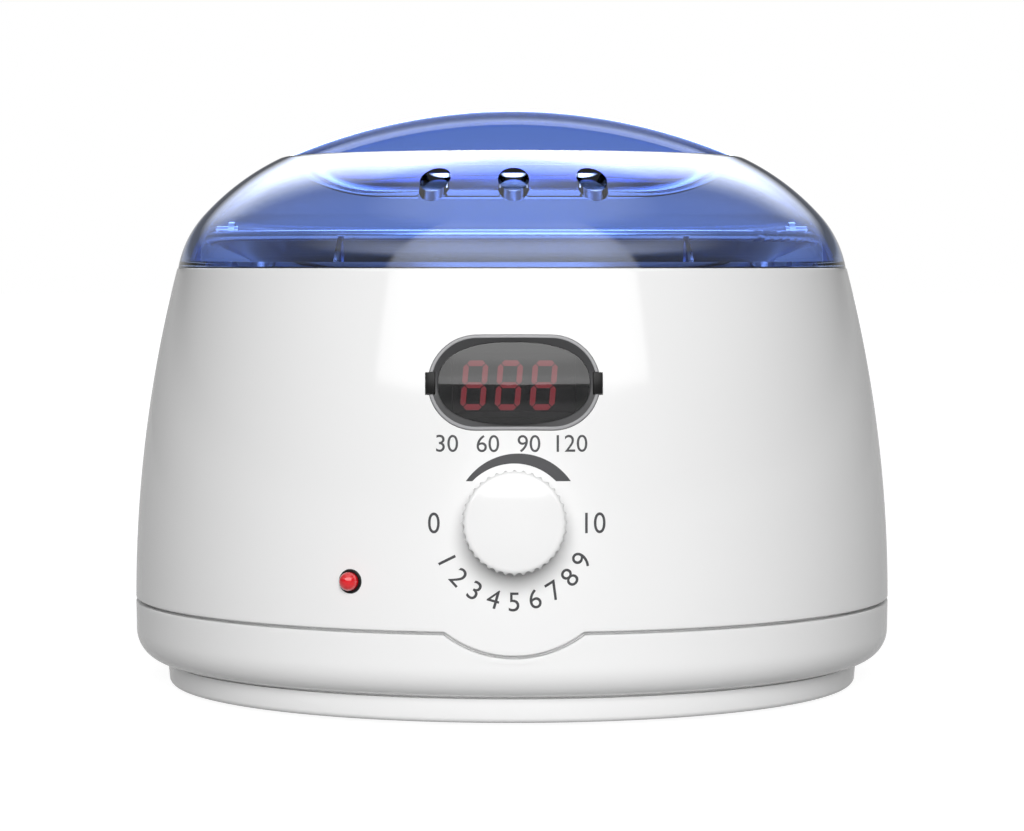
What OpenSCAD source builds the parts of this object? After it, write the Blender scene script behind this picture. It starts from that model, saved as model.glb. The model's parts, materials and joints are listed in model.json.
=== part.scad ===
// Countertop wax warmer: a heated well in a two-part housing, a lift-out pot with a bail,
// a clear lid with a fin handle, a thermostat knob and a three-digit display.
// Drawn about the body's own axis with the front towards -Y, then shifted along Y by place()
// so that the origin is at the middle of the whole object's footprint.

/* [Body] */
// Widest diameter of the body, at the parting line
body_d = 186; // [182:1:196]
// Radius of the outward curve of the sides, seen from the front
side_r = 320; // [290:5:400]
// Wall of the upper housing, the base shell and the bottom cover
wall = 2.5; // [2.2:0.1:2.8]
// Height of the parting line above the table
parting_z = 22; // [21.5:0.5:24]
// Height of the upper housing, from the parting line to the lid's seat
housing_h = 81; // [80:1:88]
// Open gap along the parting line
seam = 0.7; // [0.4:0.1:1]
// Width of the flat land that the lid sits on
seat_w = 3.4; // [3.2:0.1:4]
// Depth of the deck below the lid's seat
deck_drop = 4.5; // [4.2:0.1:6]
// Radius of the tongue under the knob
tongue_r = 26; // [22:1:30]
// How far the tongue dips below the parting line
tongue_drop = 5.2; // [4:0.2:6]

/* [Base] */
// Height of the base shell's lower edge above the table
base_edge_z = 7.2; // [6.8:0.2:8]
// Radius of the rounding under the base shell
base_round = 7.5; // [6:0.5:9]
// Height of the foot ring's edge above the table
ring_edge_z = 1; // [0.6:0.2:1.6]
// Diameter of the foot ring
ring_d = 170.6; // [166:0.2:171.4]
// Width of the foot ring's rim
ring_w = 3.6; // [3:0.2:5]
// Diameter of a rubber foot
foot_d = 14; // [10:1:15]

/* [Lid] */
// Wall of the lid
lid_wall = 2.2; // [1.8:0.1:2.4]
// Radius of the lid's edge above its seat
lid_edge_r = 26; // [24:0.5:29]
// Radius of the lid's shoulder
shoulder_r = 60.7; // [58:0.5:64]
// Slope of the lid where the edge meets the shoulder, in degrees
shoulder_deg = 48; // [46:1:50]
// Slope of the lid at its seat, in degrees
rim_deg = 80; // [76:1:84]
// Width of the shoulder outside the dish's lip
shoulder_w = 26.88; // [25.4:0.02:30]
// Width of the dish's sloping side
dish_slope_w = 22.5; // [18:0.5:28]
// Depth of the dish's floor below its lip
dish_depth = 6.68; // [5.4:0.1:8.4]
// Rounding of the dish's lip
lip_r = 5; // [4:0.5:6]
// Radius of the fin handle's crown
fin_r = 137; // [130:1:150]
// Thickness of the fin handle
fin_w = 13; // [11:0.5:16]
// Rounding along the top of the fin
fin_round = 4.5; // [3.5:0.5:5]
// Diameter of a vent hole
vent_d = 7.1; // [5:0.1:8]
// Distance of the vent holes from the lid's rim
vent_inset = 14.38; // [12.4:0.02:16.4]
// Angle between neighbouring vent holes, in degrees
vent_step = 15.2; // [12:0.2:20]
// Depth of the locating ring below the seat
lid_ring_drop = 3.4; // [2.5:0.1:3.8]

/* [Pot] */
// Outer diameter of the pot's wall
pot_d = 122; // [116:1:123]
// Sheet thickness of the pot
pot_t = 1; // [0.8:0.1:1.4]
// Diameter of the rolled bead at the brim
bead_d = 2.6; // [2.2:0.1:3]
// Diameter of the bail's wire
bail_d = 3; // [2.6:0.1:3]
// Gap between the pot and the heating cup
pot_gap = 0.8; // [0.5:0.1:1.2]

/* [Heating] */
// Height of the heating cup's floor above the table
cup_floor_z = 30; // [29:0.5:32]
// Sheet thickness of the heating cup
cup_t = 1.2; // [1:0.1:1.5]
// Width of the cup's flange on the deck
flange_w = 7.2; // [6.8:0.2:8]
// Thickness of the seal under the flange
seal_t = 0.8; // [0.6:0.1:1.2]
// Height of the band heater
heater_h = 36; // [28:1:38]
// Thickness of the band heater
heater_t = 1.5; // [1:0.1:1.8]

/* [Controls] */
// Height of the knob's centre above the parting line
knob_up = 24.7; // [24:0.1:27]
// Diameter of the knob
knob_d = 23; // [20:0.5:25]
// Height of the knob from its skirt to its face
knob_h = 12.5; // [11:0.5:15]
// Number of scallops round the knob
scallops = 36; // [24:2:40]
// Diameter of the thermostat's shaft
shaft_d = 6; // [5:0.5:6]
// Depth of the thermostat's case
case_depth = 15; // [12:0.5:15.5]
// Distance of the display's centre below the lid's seat
display_down = 25.3; // [25:0.1:28]
// Width of the display's bezel
bezel_w = 38.3; // [36:0.1:40]
// Height of the display's bezel
bezel_h = 21.4; // [20:0.1:22]
// Width of the bezel's rim
bezel_rim = 1; // [0.8:0.1:1.4]
// Height of a digit
digit_h = 10.6; // [9:0.1:12]
// Pitch of the digits
digit_pitch = 7.6; // [7:0.1:8]
// Height of the lamp's centre above the parting line
lamp_up = 11.1; // [9:0.1:16]
// Turn of the lamp to the left of the front, in degrees
lamp_turn = 23.2; // [20:0.2:30]
// Diameter of the lamp's dome
lamp_d = 4.8; // [3:0.1:5]
// Radius of the cord bush's bore
bush_bore_r = 3.3; // [2.8:0.1:3.6]
// Height of the cord bush's centre above the parting line
bush_up = 14; // [12:0.5:20]

/* [Hidden] */
$fn = 144;

fit_gap = 0.1;
run_gap = 0.05;
body_r = body_d / 2;
seat_z = parting_z + housing_h;
deck_z = seat_z - deck_drop;
side_cx = body_r - side_r;

function wall_r(z, out = 0) = side_cx + sqrt(pow(side_r + out, 2) - pow(z - parting_z, 2));
function wall_tilt(z) = asin((z - parting_z) / side_r);
function sag(x, r) = r - sqrt(r * r - x * x);
function arc_pts(c, r, from, to, steps) =
    [for (i = [0:steps]) let (a = from + (to - from) * i / steps) c + r * [cos(a), sin(a)]];
function up_dir(a) = [sin(a), cos(a)];
function up_arc(c, r, from, to, steps) =
    [for (i = [0:steps]) c + r * up_dir(from + (to - from) * i / steps)];

seat_r = wall_r(seat_z);
opening_r = seat_r - seat_w;
cup_r = pot_d / 2 + pot_gap + cup_t;
well_r = cup_r + 1.5;

// Lid outline: arcs about three centres, each tangent to the next
rim_inset = 0.2;
rim_r = seat_r - rim_inset;
edge_c = [rim_r, 0] - lid_edge_r * up_dir(rim_deg);
shoulder_c = edge_c + (lid_edge_r - shoulder_r) * up_dir(shoulder_deg);
lip_x = rim_r - shoulder_w;
lip_c = [lip_x, shoulder_c.y + sqrt(pow(shoulder_r - lip_r, 2) - pow(lip_x - shoulder_c.x, 2))];
floor_r = lip_x - dish_slope_w;
dish_floor_h = lip_c.y + lip_r - dish_depth;
lip_rise = lip_c.y - dish_floor_h;
bowl_r = (pow(lip_x - floor_r, 2) + pow(lip_rise, 2) - lip_r * lip_r) / (2 * (lip_r + lip_rise));
bowl_c = [floor_r, dish_floor_h + bowl_r];
lip_in_deg = atan2(bowl_c.x - lip_c.x, bowl_c.y - lip_c.y);
lip_out_deg = atan2(lip_c.x - shoulder_c.x, lip_c.y - shoulder_c.y);
// The fin's crown passes just above the lip, and its ends run on into the shoulder
fin_over_lip = 0.2;
fin_cz = lip_c.y + lip_r + fin_over_lip - sqrt(fin_r * fin_r - lip_x * lip_x);
fin_end_deg = asin((lip_x + 0.32 * lip_r) / fin_r);
fin_root = fin_r - 25;
lid_ring_gap = 0.6;
lid_ring_r = opening_r - lid_ring_gap;
lid_ring_w = 1.8;
lid_ledge_t = 1.2;

// Base outline
cover_top_z = base_edge_z + wall;
base_side_r = body_r - 0.12;
base_round_c = [base_side_r - base_round, base_edge_z + base_round - 0.1];
lip_gap = 0.25;
lip_w = 1.4;
base_lip_r = body_r - wall - lip_gap;
base_inner_r = base_lip_r - lip_w;
base_hole_r = 72;
groove = 0.6;
land_r = ring_d / 2 - 1.3;

tongue_cz = parting_z - tongue_drop + tongue_r;

// Screw places
housing_screw_turns = [45, 135, 225, 315];
housing_screw_r = base_lip_r - 9.2;
housing_boss_d = 8;
housing_boss_top = parting_z + 23;
cover_screw_turns = [0, 90, 180, 270];
cover_screw_r = base_hole_r + 5;
cup_screw_turns = [60, 180, 300];
cup_screw_r = well_r + 3;
flange_r = cup_r + flange_w;
pilot_d = 2.8;
shank_d = 2.7;
head_d = 5.6;
head_h = 2;

// Display and controls, measured along the wall's own normal
display_z = seat_z - display_down;
knob_z = parting_z + knob_up;
lamp_z = parting_z + lamp_up;
bush_z = parting_z + bush_up;
knob_clear = 0.5;
nut_seat = 0.6;
pad_h = 1.5;
pad_d = 26;
collar_d = 9;
collar_h = 3.6;
board_t = 1.6;
board_front = -12;
block_w = bezel_w - 11.3;
block_h = bezel_h - 7.4;
block_face = -5;
segment_t = 0.3;
post_x = bezel_w / 2 + 0.85;
post_y = bezel_h / 2 - 0.7;
board_w = 2 * post_x + 6;
board_h = 2 * post_y + 10;

// Reach of the knob and the bush fix the middle of the footprint along Y
knob_tilt = wall_tilt(knob_z);
front_reach = wall_r(knob_z) + (knob_clear + knob_h) * cos(knob_tilt);
bush_nose = 7;
bush_r = 5.4;
bush_flange_r = 7.5;
bush_seat = wall_r(bush_z - bush_flange_r) - wall_r(bush_z) + run_gap;
rear_reach = wall_r(bush_z) + bush_nose;
shift_y = (front_reach - rear_reach) / 2;

// The slot that the cord bush fills, from the housing's lower edge up round the bush
module cord_slot(gap) {
    half = bush_r + gap;
    corner_r = 1.5;
    foot_z = parting_z + seam / 2 - 10 * gap;
    corner_z = bush_z + half - corner_r;
    translate([0, wall_r(bush_z) + 10, 0]) rotate([90, 0, 0]) linear_extrude(20) {
        translate([-half, foot_z]) square([2 * half, corner_z - foot_z]);
        translate([corner_r - half, foot_z]) square([2 * (half - corner_r), bush_z + half - foot_z]);
        for (side = [-1, 1]) translate([side * (half - corner_r), corner_z]) circle(r = corner_r);
    }
}

// A point given along the knob's own axes
function at_knob(x, y, z) =
    [x, -wall_r(knob_z) + y * sin(knob_tilt) - z * cos(knob_tilt),
     knob_z + y * cos(knob_tilt) + z * sin(knob_tilt)];

module place() {
    translate([0, shift_y, 0]) children();
}

// Moves children onto the wall: their Z axis points out of it, their Y axis points up along it
module at_wall(turn, z) {
    rotate([0, 0, turn]) translate([0, -wall_r(z), z]) rotate([90 - wall_tilt(z), 0, 0]) children();
}

module ring_of(turns, r) {
    for (t = turns) rotate([0, 0, t]) translate([0, -r, 0]) children();
}

// Section inside the curved side, grown outwards by out, between two heights
module side_section(out, z0, z1) {
    intersection() {
        translate([side_cx, parting_z]) circle(r = side_r + out, $fn = 720);
        translate([0, z0]) square([body_r + 10, z1 - z0]);
    }
}

module side_skin(inner, outer, z0, z1) {
    difference() {
        side_section(outer, z0, z1);
        side_section(inner, z0 - 1, z1 + 1);
    }
}

// A box section with its two lower corners rounded
module cup_section(r, z0, z1, round) {
    polygon(concat([[0, z1], [0, z0]], arc_pts([r - round, z0 + round], round, -90, 0, 8), [[r, z1]]));
}

module stadium(w, h) {
    translate([-(w - h) / 2, -h / 2]) square([w - h, h]);
    for (side = [-1, 1]) translate([side * (w - h) / 2, 0]) circle(d = h);
}

// Screw with its head's seat at z = 0 and its shank upwards
module screw(length) {
    translate([0, 0, -head_h]) cylinder(d1 = head_d - 1, d2 = head_d, h = head_h);
    translate([0, 0, -0.01]) cylinder(d = shank_d, h = length);
}

// Tube swept along points, for leads and the capillary
function unit(v) = v / norm(v);
function run_dir(p, i) = unit(p[min(i + 1, len(p) - 1)] - p[max(i - 1, 0)]);
function side_dir(d) = unit(cross(d, abs(d.z) < 0.8 ? [0, 0, 1] : [1, 0, 0]));
function tube_ring(p, i, r, sides) =
    let (d = run_dir(p, i), u = side_dir(d), v = cross(d, u))
    [for (k = [0:sides - 1]) p[i] + r * (cos(360 * k / sides) * u + sin(360 * k / sides) * v)];
function blend_pts(p, steps) =
    [for (i = [0:len(p) - 2], s = [0:steps - 1])
        let (t = s / steps, a = p[max(i - 1, 0)], b = p[i], c = p[i + 1], d = p[min(i + 2, len(p) - 1)])
        0.5 * (2 * b + (c - a) * t + (2 * a - 5 * b + 4 * c - d) * t * t
               + (3 * b - a - 3 * c + d) * t * t * t)];

module swept_tube(ends, r, steps = 4, sides = 8) {
    p = concat(blend_pts(ends, steps), [ends[len(ends) - 1]]);
    n = len(p);
    points = [for (i = [0:n - 1]) each tube_ring(p, i, r, sides)];
    walls = [for (i = [0:n - 2], k = [0:sides - 1], half = [0, 1])
        let (a = i * sides + k, b = i * sides + (k + 1) % sides)
        half == 0 ? [a, a + sides, b + sides] : [a, b + sides, b]];
    caps = [[for (k = [0:sides - 1]) k], [for (k = [sides - 1:-1:0]) (n - 1) * sides + k]];
    polyhedron(points, concat(walls, caps), convexity = 6);
}

// Half section of the solid under the lid's outer face, drawn in by t, down to z0
module dome_section(t, z0) {
    end_deg = acos((z0 - edge_c.y) / (lid_edge_r - t));
    polygon(concat([[0, z0], [0, dish_floor_h - t]],
                   up_arc(bowl_c, bowl_r + t, 180, 180 + lip_in_deg, 7),
                   up_arc(lip_c, lip_r - t, lip_in_deg, lip_out_deg, 7),
                   up_arc(shoulder_c, shoulder_r - t, lip_out_deg + 2.5, shoulder_deg, 8),
                   up_arc(edge_c, lid_edge_r - t, shoulder_deg + 2.5, end_deg, 11)));
}

// The fin handle: a slice of a disc whose axis lies across the warmer
module fin(t) {
    h = fin_w / 2 - t;
    r = fin_r - t;
    round = fin_round - t;
    section = concat([[fin_root, -h]], arc_pts([r - round, -h + round], round, -90, 0, 6),
                     arc_pts([r - round, h - round], round, 0, 90, 6), [[fin_root, h]]);
    translate([0, 0, fin_cz]) rotate([90, 0, 0]) rotate([0, 0, 90 - fin_end_deg])
        rotate_extrude(angle = 2 * fin_end_deg) polygon(section);
}

module lid() {
    vent_turns = [for (i = [-1:1]) i * vent_step];
    rib_turns = [for (i = [0:5]) 30 + 60 * i];
    ring_in = lid_ring_r - lid_ring_w;
    color([0.24, 0.36, 0.86, 0.6]) translate([0, 0, seat_z]) {
        difference() {
            union() {
                rotate_extrude() dome_section(0, 0);
                fin(0);
            }
            rotate_extrude() dome_section(lid_wall, -1);
            fin(lid_wall);
            ring_of(vent_turns, rim_r - vent_inset) translate([0, 0, 5]) cylinder(d = vent_d, h = 40);
            translate([0, 0, fin_cz + fin_r + 1.7]) sphere(r = 2.5);
        }
        // Locating ring on a ledge, which drops inside the opening and clears the cup's flange and screws
        difference() {
            rotate_extrude() {
                translate([ring_in, -lid_ring_drop]) square([lid_ring_w, lid_ring_drop + lid_ledge_t]);
                intersection() {
                    dome_section(lid_wall / 2, 0);
                    translate([ring_in, 0]) square([rim_r - ring_in, lid_ledge_t]);
                }
            }
            translate([0, 0, -deck_drop]) {
                cylinder(r = flange_r + lid_ring_gap, h = seal_t + cup_t + lid_ring_gap);
                ring_of(cup_screw_turns, cup_screw_r)
                    cylinder(d = head_d + 2 * lid_ring_gap, h = seal_t + cup_t + head_h + lid_ring_gap);
            }
        }
        // Gussets from the ring's ledge up the wall
        intersection() {
            rotate_extrude() dome_section(lid_wall / 2, 0);
            ring_of(rib_turns, lid_ring_r - lid_ring_w / 2) translate([-0.7, -10, 1]) cube([1.4, 10, 8]);
        }
    }
}

// Pot: straight wall, flared brim, rolled bead, and two lugs for the bail
pot_r = pot_d / 2;
pot_round = 8;
flare_z = deck_z + seal_t + cup_t + 0.6;
flare_round = 4;
flare_deg = 62;
bead_gap = 0.9;
bead_r = bead_d / 2;
bead_c = [lid_ring_r - lid_ring_w - bead_gap - bead_r, seat_z + 7];
flare_c = [pot_r + flare_round, flare_z];
bail_r = bail_d / 2;
bail_z = bead_c.y + bead_r + bail_r + 0.05;
bail_bend_r = bead_c.x - 1.3;
lug_x = bail_bend_r - 3.6;
lug_t = 1.6;
lug_r = 2.6;
bail_pin_r = bail_r - 0.1;
bail_hole_r = bail_pin_r + 0.07;
bead_join = [0, pot_t * 0.55];

// Sheet outline drawn in by t from the pot's outer face
function pot_outer(t) = concat(
    [[0, cup_floor_z + t]],
    arc_pts([pot_r - pot_round, cup_floor_z + pot_round], pot_round - t, -90, 0, 8),
    arc_pts(flare_c, flare_round + t, 180, 180 - flare_deg, 6));

module inner_pot() {
    color([0.78, 0.79, 0.8]) {
        difference() {
            union() {
                rotate_extrude() difference() {
                    polygon(concat([[0, bead_c.y]], pot_outer(0),
                                   [bead_c - bead_join, bead_c + bead_join]));
                    polygon(concat([[0, bead_c.y + 5]], pot_outer(pot_t),
                                   [bead_c + bead_join, bead_c + [0, 5]]));
                }
                rotate_extrude() translate(bead_c) circle(r = bead_r);
                for (side = [-1, 1]) pot_lug(side);
            }
            for (side = [-1, 1]) translate([side * (lug_x - 5), 0, bail_z]) rotate([0, side * 90, 0])
                cylinder(r = bail_hole_r, h = 10 - 0.1);
        }
    }
}

// Lug inside the brim: a plate rounded about the bail's pivot, cut off at the sheet's outer face
module pot_lug(side) {
    foot = lug_r + 1.5;
    foot_z = bead_c.y - (bead_c.x - lug_x) * tan(90 - flare_deg);
    root_z = flare_z - 3;
    top_z = bail_z + lug_r + 1;
    intersection() {
        translate([side * lug_x - lug_t / 2, 0, 0]) rotate([90, 0, 90]) linear_extrude(lug_t)
            polygon(concat([[foot, root_z], [foot, foot_z]], arc_pts([0, bail_z], lug_r, 0, 180, 12),
                           [[-foot, foot_z], [-foot, root_z]]));
        rotate_extrude() polygon(concat([[0, top_z]], pot_outer(pot_t * 0.3),
                                        [bead_c - bead_join / 2, [bead_c.x, top_z]]));
    }
}

module pot_handle() {
    color([0.75, 0.75, 0.76]) translate([0, 0, bail_z]) {
        rotate_extrude(angle = 180) translate([bail_bend_r, 0]) circle(r = bail_r, $fn = 32);
        for (side = [-1, 1]) translate([side * bail_bend_r, 0, 0]) {
            rotate([90, 0, 0]) sphere(r = bail_r, $fn = 32);
            rotate([0, -side * 90, 0])
                cylinder(r = bail_pin_r, h = bail_bend_r - lug_x + lug_t / 2 + 0.8, $fn = 32);
        }
    }
}

module housing_section() {
    side_skin(-wall, 0, parting_z + seam / 2, seat_z);
    translate([opening_r, deck_z - wall]) square([wall_r(seat_z) - wall / 2 - opening_r, deck_drop + wall]);
    translate([well_r, deck_z - wall]) square([opening_r - well_r + 1, wall]);
    translate([well_r, deck_z - wall - 4]) square([2, 5]);
}

module tongue() {
    intersection() {
        rotate_extrude() side_skin(-wall, 0, parting_z - tongue_drop - 1, parting_z + seam);
        translate([0, 0, tongue_cz]) rotate([90, 0, 0]) cylinder(r = tongue_r - seam / 2, h = body_r + 5);
    }
}

module upper_housing() {
    web_from = housing_screw_r + housing_boss_d / 2 - 0.8;
    post_h = -board_front - sag(post_x, wall_r(display_z)) - wall / 2;
    color("white") difference() {
        union() {
            rotate_extrude() housing_section();
            tongue();
            at_wall(0, knob_z) translate([0, 0, -wall - pad_h]) cylinder(d = pad_d, h = pad_h + 0.6);
            at_wall(0, display_z) for (x = [-post_x, post_x], y = [-post_y, post_y])
                translate([x, y, board_front]) cylinder(d = 5, h = post_h);
            ring_of(housing_screw_turns, housing_screw_r) translate([0, 0, parting_z - seam / 2])
                cylinder(d = housing_boss_d, h = housing_boss_top - parting_z + seam / 2);
            ring_of(housing_screw_turns, web_from)
                translate([-1, wall / 2 - body_r + web_from, parting_z + 4])
                    cube([2, body_r - wall / 2 - web_from, housing_boss_top - parting_z - 8]);
            ring_of(cup_screw_turns, cup_screw_r) translate([0, 0, deck_z - wall - 8])
                cylinder(d = 7, h = 9);
        }
        ring_of(housing_screw_turns, housing_screw_r) translate([0, 0, parting_z - 5])
            cylinder(d = pilot_d, h = housing_boss_top - parting_z);
        ring_of(cup_screw_turns, cup_screw_r) translate([0, 0, deck_z - wall - 6])
            cylinder(d = pilot_d, h = 20);
        at_wall(0, knob_z) {
            translate([0, 0, -20]) cylinder(d = collar_d + 0.4, h = 30);
            translate([0, 0, -nut_seat]) cylinder(d = knob_d - 5, h = 10);
        }
        at_wall(0, display_z) {
            translate([0, 0, -9]) linear_extrude(20) stadium(bezel_w + 2 * fit_gap, bezel_h + 2 * fit_gap);
            translate([0, 0, -12]) linear_extrude(20) clip_cuts();
            for (x = [-post_x, post_x], y = [-post_y, post_y])
                translate([x, y, board_front - 1]) cylinder(d = 1.8, h = 7);
        }
        at_wall(-lamp_turn, lamp_z) translate([0, 0, -10]) cylinder(r = lamp_hole_r, h = 20);
        cord_slot(fit_gap);
    }
}

module base_shell() {
    color("white") difference() {
        union() {
            rotate_extrude() base_section();
            ring_of(housing_screw_turns, housing_screw_r) translate([0, 0, base_edge_z + 1])
                cylinder(d = 9.5, h = parting_z - seam / 2 - base_edge_z - 1);
            ring_of(cover_screw_turns, cover_screw_r) translate([0, 0, base_edge_z + 1])
                cylinder(d = 8, h = 10);
        }
        // Clearance for the tongue, outside the locating lip
        difference() {
            translate([0, 0, tongue_cz]) rotate([90, 0, 0])
                cylinder(r = tongue_r + seam / 2, h = body_r + 5);
            cylinder(r = base_lip_r, h = seat_z);
        }
        ring_of(housing_screw_turns, housing_screw_r) {
            translate([0, 0, base_edge_z - 1])
                cylinder(d = head_d + 0.9, h = base_screw_seat - base_edge_z + 1);
            translate([0, 0, base_edge_z]) cylinder(d = shank_d + 0.7, h = parting_z);
        }
        ring_of(cover_screw_turns, cover_screw_r) translate([0, 0, base_edge_z - 1])
            cylinder(d = pilot_d, h = 9);
    }
}

base_screw_seat = parting_z - 5;

module base_section() {
    difference() {
        union() {
            polygon([[0, base_edge_z], [base_round_c.x, base_edge_z], base_round_c + [0.5, 0],
                     [base_side_r, base_round_c.y], [body_r, parting_z - seam / 2],
                     [0, parting_z - seam / 2]]);
            intersection() {
                translate(base_round_c) circle(r = base_round);
                translate([base_round_c.x - 1, base_edge_z]) square([20, base_round]);
            }
            translate([base_round_c.x, base_edge_z]) square([0.9, 1.2]);
        }
        translate([0, base_edge_z + wall]) polygon(concat([[0, 0]],
            arc_pts([base_inner_r - 4, 4], 4, -90, 0, 6), [[base_inner_r, 40], [0, 40]]));
        translate([0, -1]) square([base_hole_r, 40]);
    }
    translate([base_inner_r, parting_z - 3]) square([lip_w, 6]);
}

spigot_r = base_hole_r - 0.3;
plate_z0 = base_edge_z - 3.8;
plate_z1 = plate_z0 + wall;

module cover_section() {
    r = ring_d / 2;
    polygon(concat([[r - ring_w, plate_z0], [r - ring_w, ring_edge_z + 0.8], [r - ring_w + 0.8, ring_edge_z]],
                   arc_pts([r - 2, ring_edge_z + 1.6], 1.6, -90, -12, 6), [[r - 0.2, plate_z1 - 1],
                   [r, base_edge_z - groove], [land_r, base_edge_z - groove], [land_r, base_edge_z],
                   [base_hole_r + 0.8, base_edge_z], [base_hole_r + 0.8, plate_z1 + 0.4],
                   [spigot_r, plate_z1 + 0.4], [spigot_r, cover_top_z - 0.4], [spigot_r - 0.4, cover_top_z],
                   [spigot_r - 1.7, cover_top_z], [spigot_r - 1.7, plate_z1], [0, plate_z1], [0, plate_z0]]));
}

foot_r = base_hole_r - 8;
foot_stem_d = 4.8;
shield_post_r = 45;
shield_post_turns = [0, 120, 240];
shield_z = cup_floor_z - cup_t - 9;

module bottom_cover() {
    slot_turns = [for (i = [0:15]) 22.5 * i + 11.25];
    color("white") difference() {
        union() {
            rotate_extrude() cover_section();
            ring_of(shield_post_turns, shield_post_r) translate([0, 0, plate_z1 - 0.5])
                cylinder(d = 7, h = shield_z - plate_z1 + 0.5);
            ring_of(foot_turns, foot_r) translate([0, 0, plate_z0 - 0.8]) difference() {
                cylinder(d = foot_d + 2.4, h = 1.2);
                translate([0, 0, -1]) cylinder(d = foot_d + 0.4, h = 1.8);
            }
        }
        ring_of(slot_turns, 32) translate([-1.5, -8, 0]) cube([3, 16, 20]);
        ring_of(shield_post_turns, shield_post_r) translate([0, 0, shield_z - 9])
            cylinder(d = pilot_d, h = 12);
        ring_of(foot_turns, foot_r) cylinder(d = foot_stem_d + 0.2, h = 20);
        ring_of(cover_screw_turns, cover_screw_r) {
            translate([0, 0, plate_z0 - 1]) cylinder(d = head_d + 0.6, h = head_h + 1);
            cylinder(d = shank_d + 0.7, h = 20);
        }
    }
}

foot_turns = [-45, 45, 135, 225];

module rubber_foot(turn) {
    color([0.16, 0.16, 0.17]) ring_of([turn], foot_r) {
        cylinder(d1 = foot_d - 1, d2 = foot_d, h = plate_z0);
        translate([0, 0, plate_z0 - 0.5]) cylinder(d = foot_stem_d, h = wall + 1);
        translate([0, 0, plate_z1]) cylinder(d1 = foot_stem_d + 1.6, d2 = foot_stem_d - 1, h = 2);
    }
}

module housing_screws() {
    color([0.7, 0.7, 0.72]) ring_of(housing_screw_turns, housing_screw_r)
        translate([0, 0, base_screw_seat]) screw(14);
}

module cover_screws() {
    color([0.7, 0.7, 0.72]) ring_of(cover_screw_turns, cover_screw_r)
        translate([0, 0, plate_z0 + head_h]) screw(9);
}

module cup_screws() {
    color([0.7, 0.7, 0.72]) ring_of(cup_screw_turns, cup_screw_r)
        translate([0, 0, deck_z + seal_t + cup_t]) rotate([180, 0, 0]) screw(7);
}

module shield_screws() {
    color([0.7, 0.7, 0.72]) ring_of(shield_post_turns, shield_post_r)
        translate([0, 0, shield_z + shield_t]) rotate([180, 0, 0]) screw(7);
}

module heating_cup() {
    color([0.68, 0.69, 0.7]) difference() {
        rotate_extrude() {
            difference() {
                cup_section(cup_r, cup_floor_z - cup_t, deck_z + seal_t + cup_t, pot_round + 1);
                cup_section(cup_r - cup_t, cup_floor_z, deck_z + 10, pot_round);
            }
            translate([cup_r - cup_t / 2, deck_z + seal_t]) square([flange_r - cup_r + cup_t / 2, cup_t]);
        }
        ring_of(cup_screw_turns, cup_screw_r) translate([0, 0, deck_z])
            cylinder(d = shank_d + 0.6, h = 10);
    }
}

module cup_seal() {
    color([0.55, 0.2, 0.15]) difference() {
        translate([0, 0, deck_z]) rotate_extrude() translate([well_r, 0]) square([flange_w - 2, seal_t]);
        ring_of(cup_screw_turns, cup_screw_r) translate([0, 0, deck_z - 1])
            cylinder(d = shank_d + 0.6, h = 10);
    }
}

heater_z = cup_floor_z + 14;
heater_in = cup_r + run_gap;
heater_out = heater_in + heater_t;
band_gap = 6;
ear_h = 10;

// Mica band with its two clamping ears at the back
module heater_band() {
    color([0.72, 0.66, 0.5]) difference() {
        union() {
            translate([0, 0, heater_z]) rotate_extrude()
                translate([heater_in, 0]) square([heater_t, heater_h]);
            for (side = [-1, 1])
                translate([side * (band_gap / 2 + 0.6) - 0.6, heater_in + 0.3, heater_z + heater_h / 2])
                    translate([0, 0, -ear_h / 2]) cube([1.2, 10, ear_h]);
        }
        translate([-band_gap / 2, heater_in - 5, heater_z - 1]) cube([band_gap, 30, heater_h + 2]);
        translate([-20, heater_out + 4.5, heater_z + heater_h / 2]) rotate([0, 90, 0])
            cylinder(d = 3.4, h = 40);
    }
}

module band_screw() {
    half = band_gap / 2 + 1.2;
    screw_y = heater_out + 4.5;
    color([0.7, 0.7, 0.72]) translate([-half, screw_y, heater_z + heater_h / 2]) rotate([0, 90, 0]) {
        screw(2 * half + 3.5);
        translate([0, 0, 2 * half]) difference() {
            cylinder(d = 6.2, h = 2.4, $fn = 6);
            translate([0, 0, -1]) cylinder(d = shank_d + 0.1, h = 5);
        }
    }
}

shield_t = 0.8;

module heat_shield() {
    r = base_hole_r - 10;
    color([0.6, 0.61, 0.62]) difference() {
        rotate_extrude() difference() {
            translate([12, shield_z]) square([r - 12, 4]);
            translate([0, shield_z + shield_t]) square([r - shield_t, 10]);
        }
        ring_of(shield_post_turns, shield_post_r) translate([0, 0, shield_z - 1])
            cylinder(d = shank_d + 0.6, h = 5);
    }
}

case_w = 30;
case_h = 25;
case_top = -wall - pad_h;

module thermostat_body() {
    color([0.82, 0.82, 0.8]) at_wall(0, knob_z) difference() {
        union() {
            translate([-case_w / 2, -case_h / 2, case_top - case_depth]) cube([case_w, case_h, case_depth]);
            translate([0, 0, case_top - 1]) cylinder(d = collar_d, h = collar_h - case_top + 1 - nut_seat);
            for (x = [-8, 8]) translate([x - 3, case_h / 2 - 0.5, case_top - case_depth + 3])
                cube([6, 4, 0.8]);
        }
        translate([0, 0, case_top - 8]) cylinder(d = shaft_d + 2 * run_gap, h = 30);
    }
}

module thermostat_nut() {
    color([0.8, 0.68, 0.35]) at_wall(0, knob_z) translate([0, 0, -nut_seat]) difference() {
        cylinder(d = 14, h = 2.2, $fn = 6);
        translate([0, 0, -1]) cylinder(d = collar_d + 0.1, h = 5);
    }
}

shaft_flat = 1;
shaft_top = knob_clear + knob_h - 2.6;
knob_hub_z = collar_h + 0.6;

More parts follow.
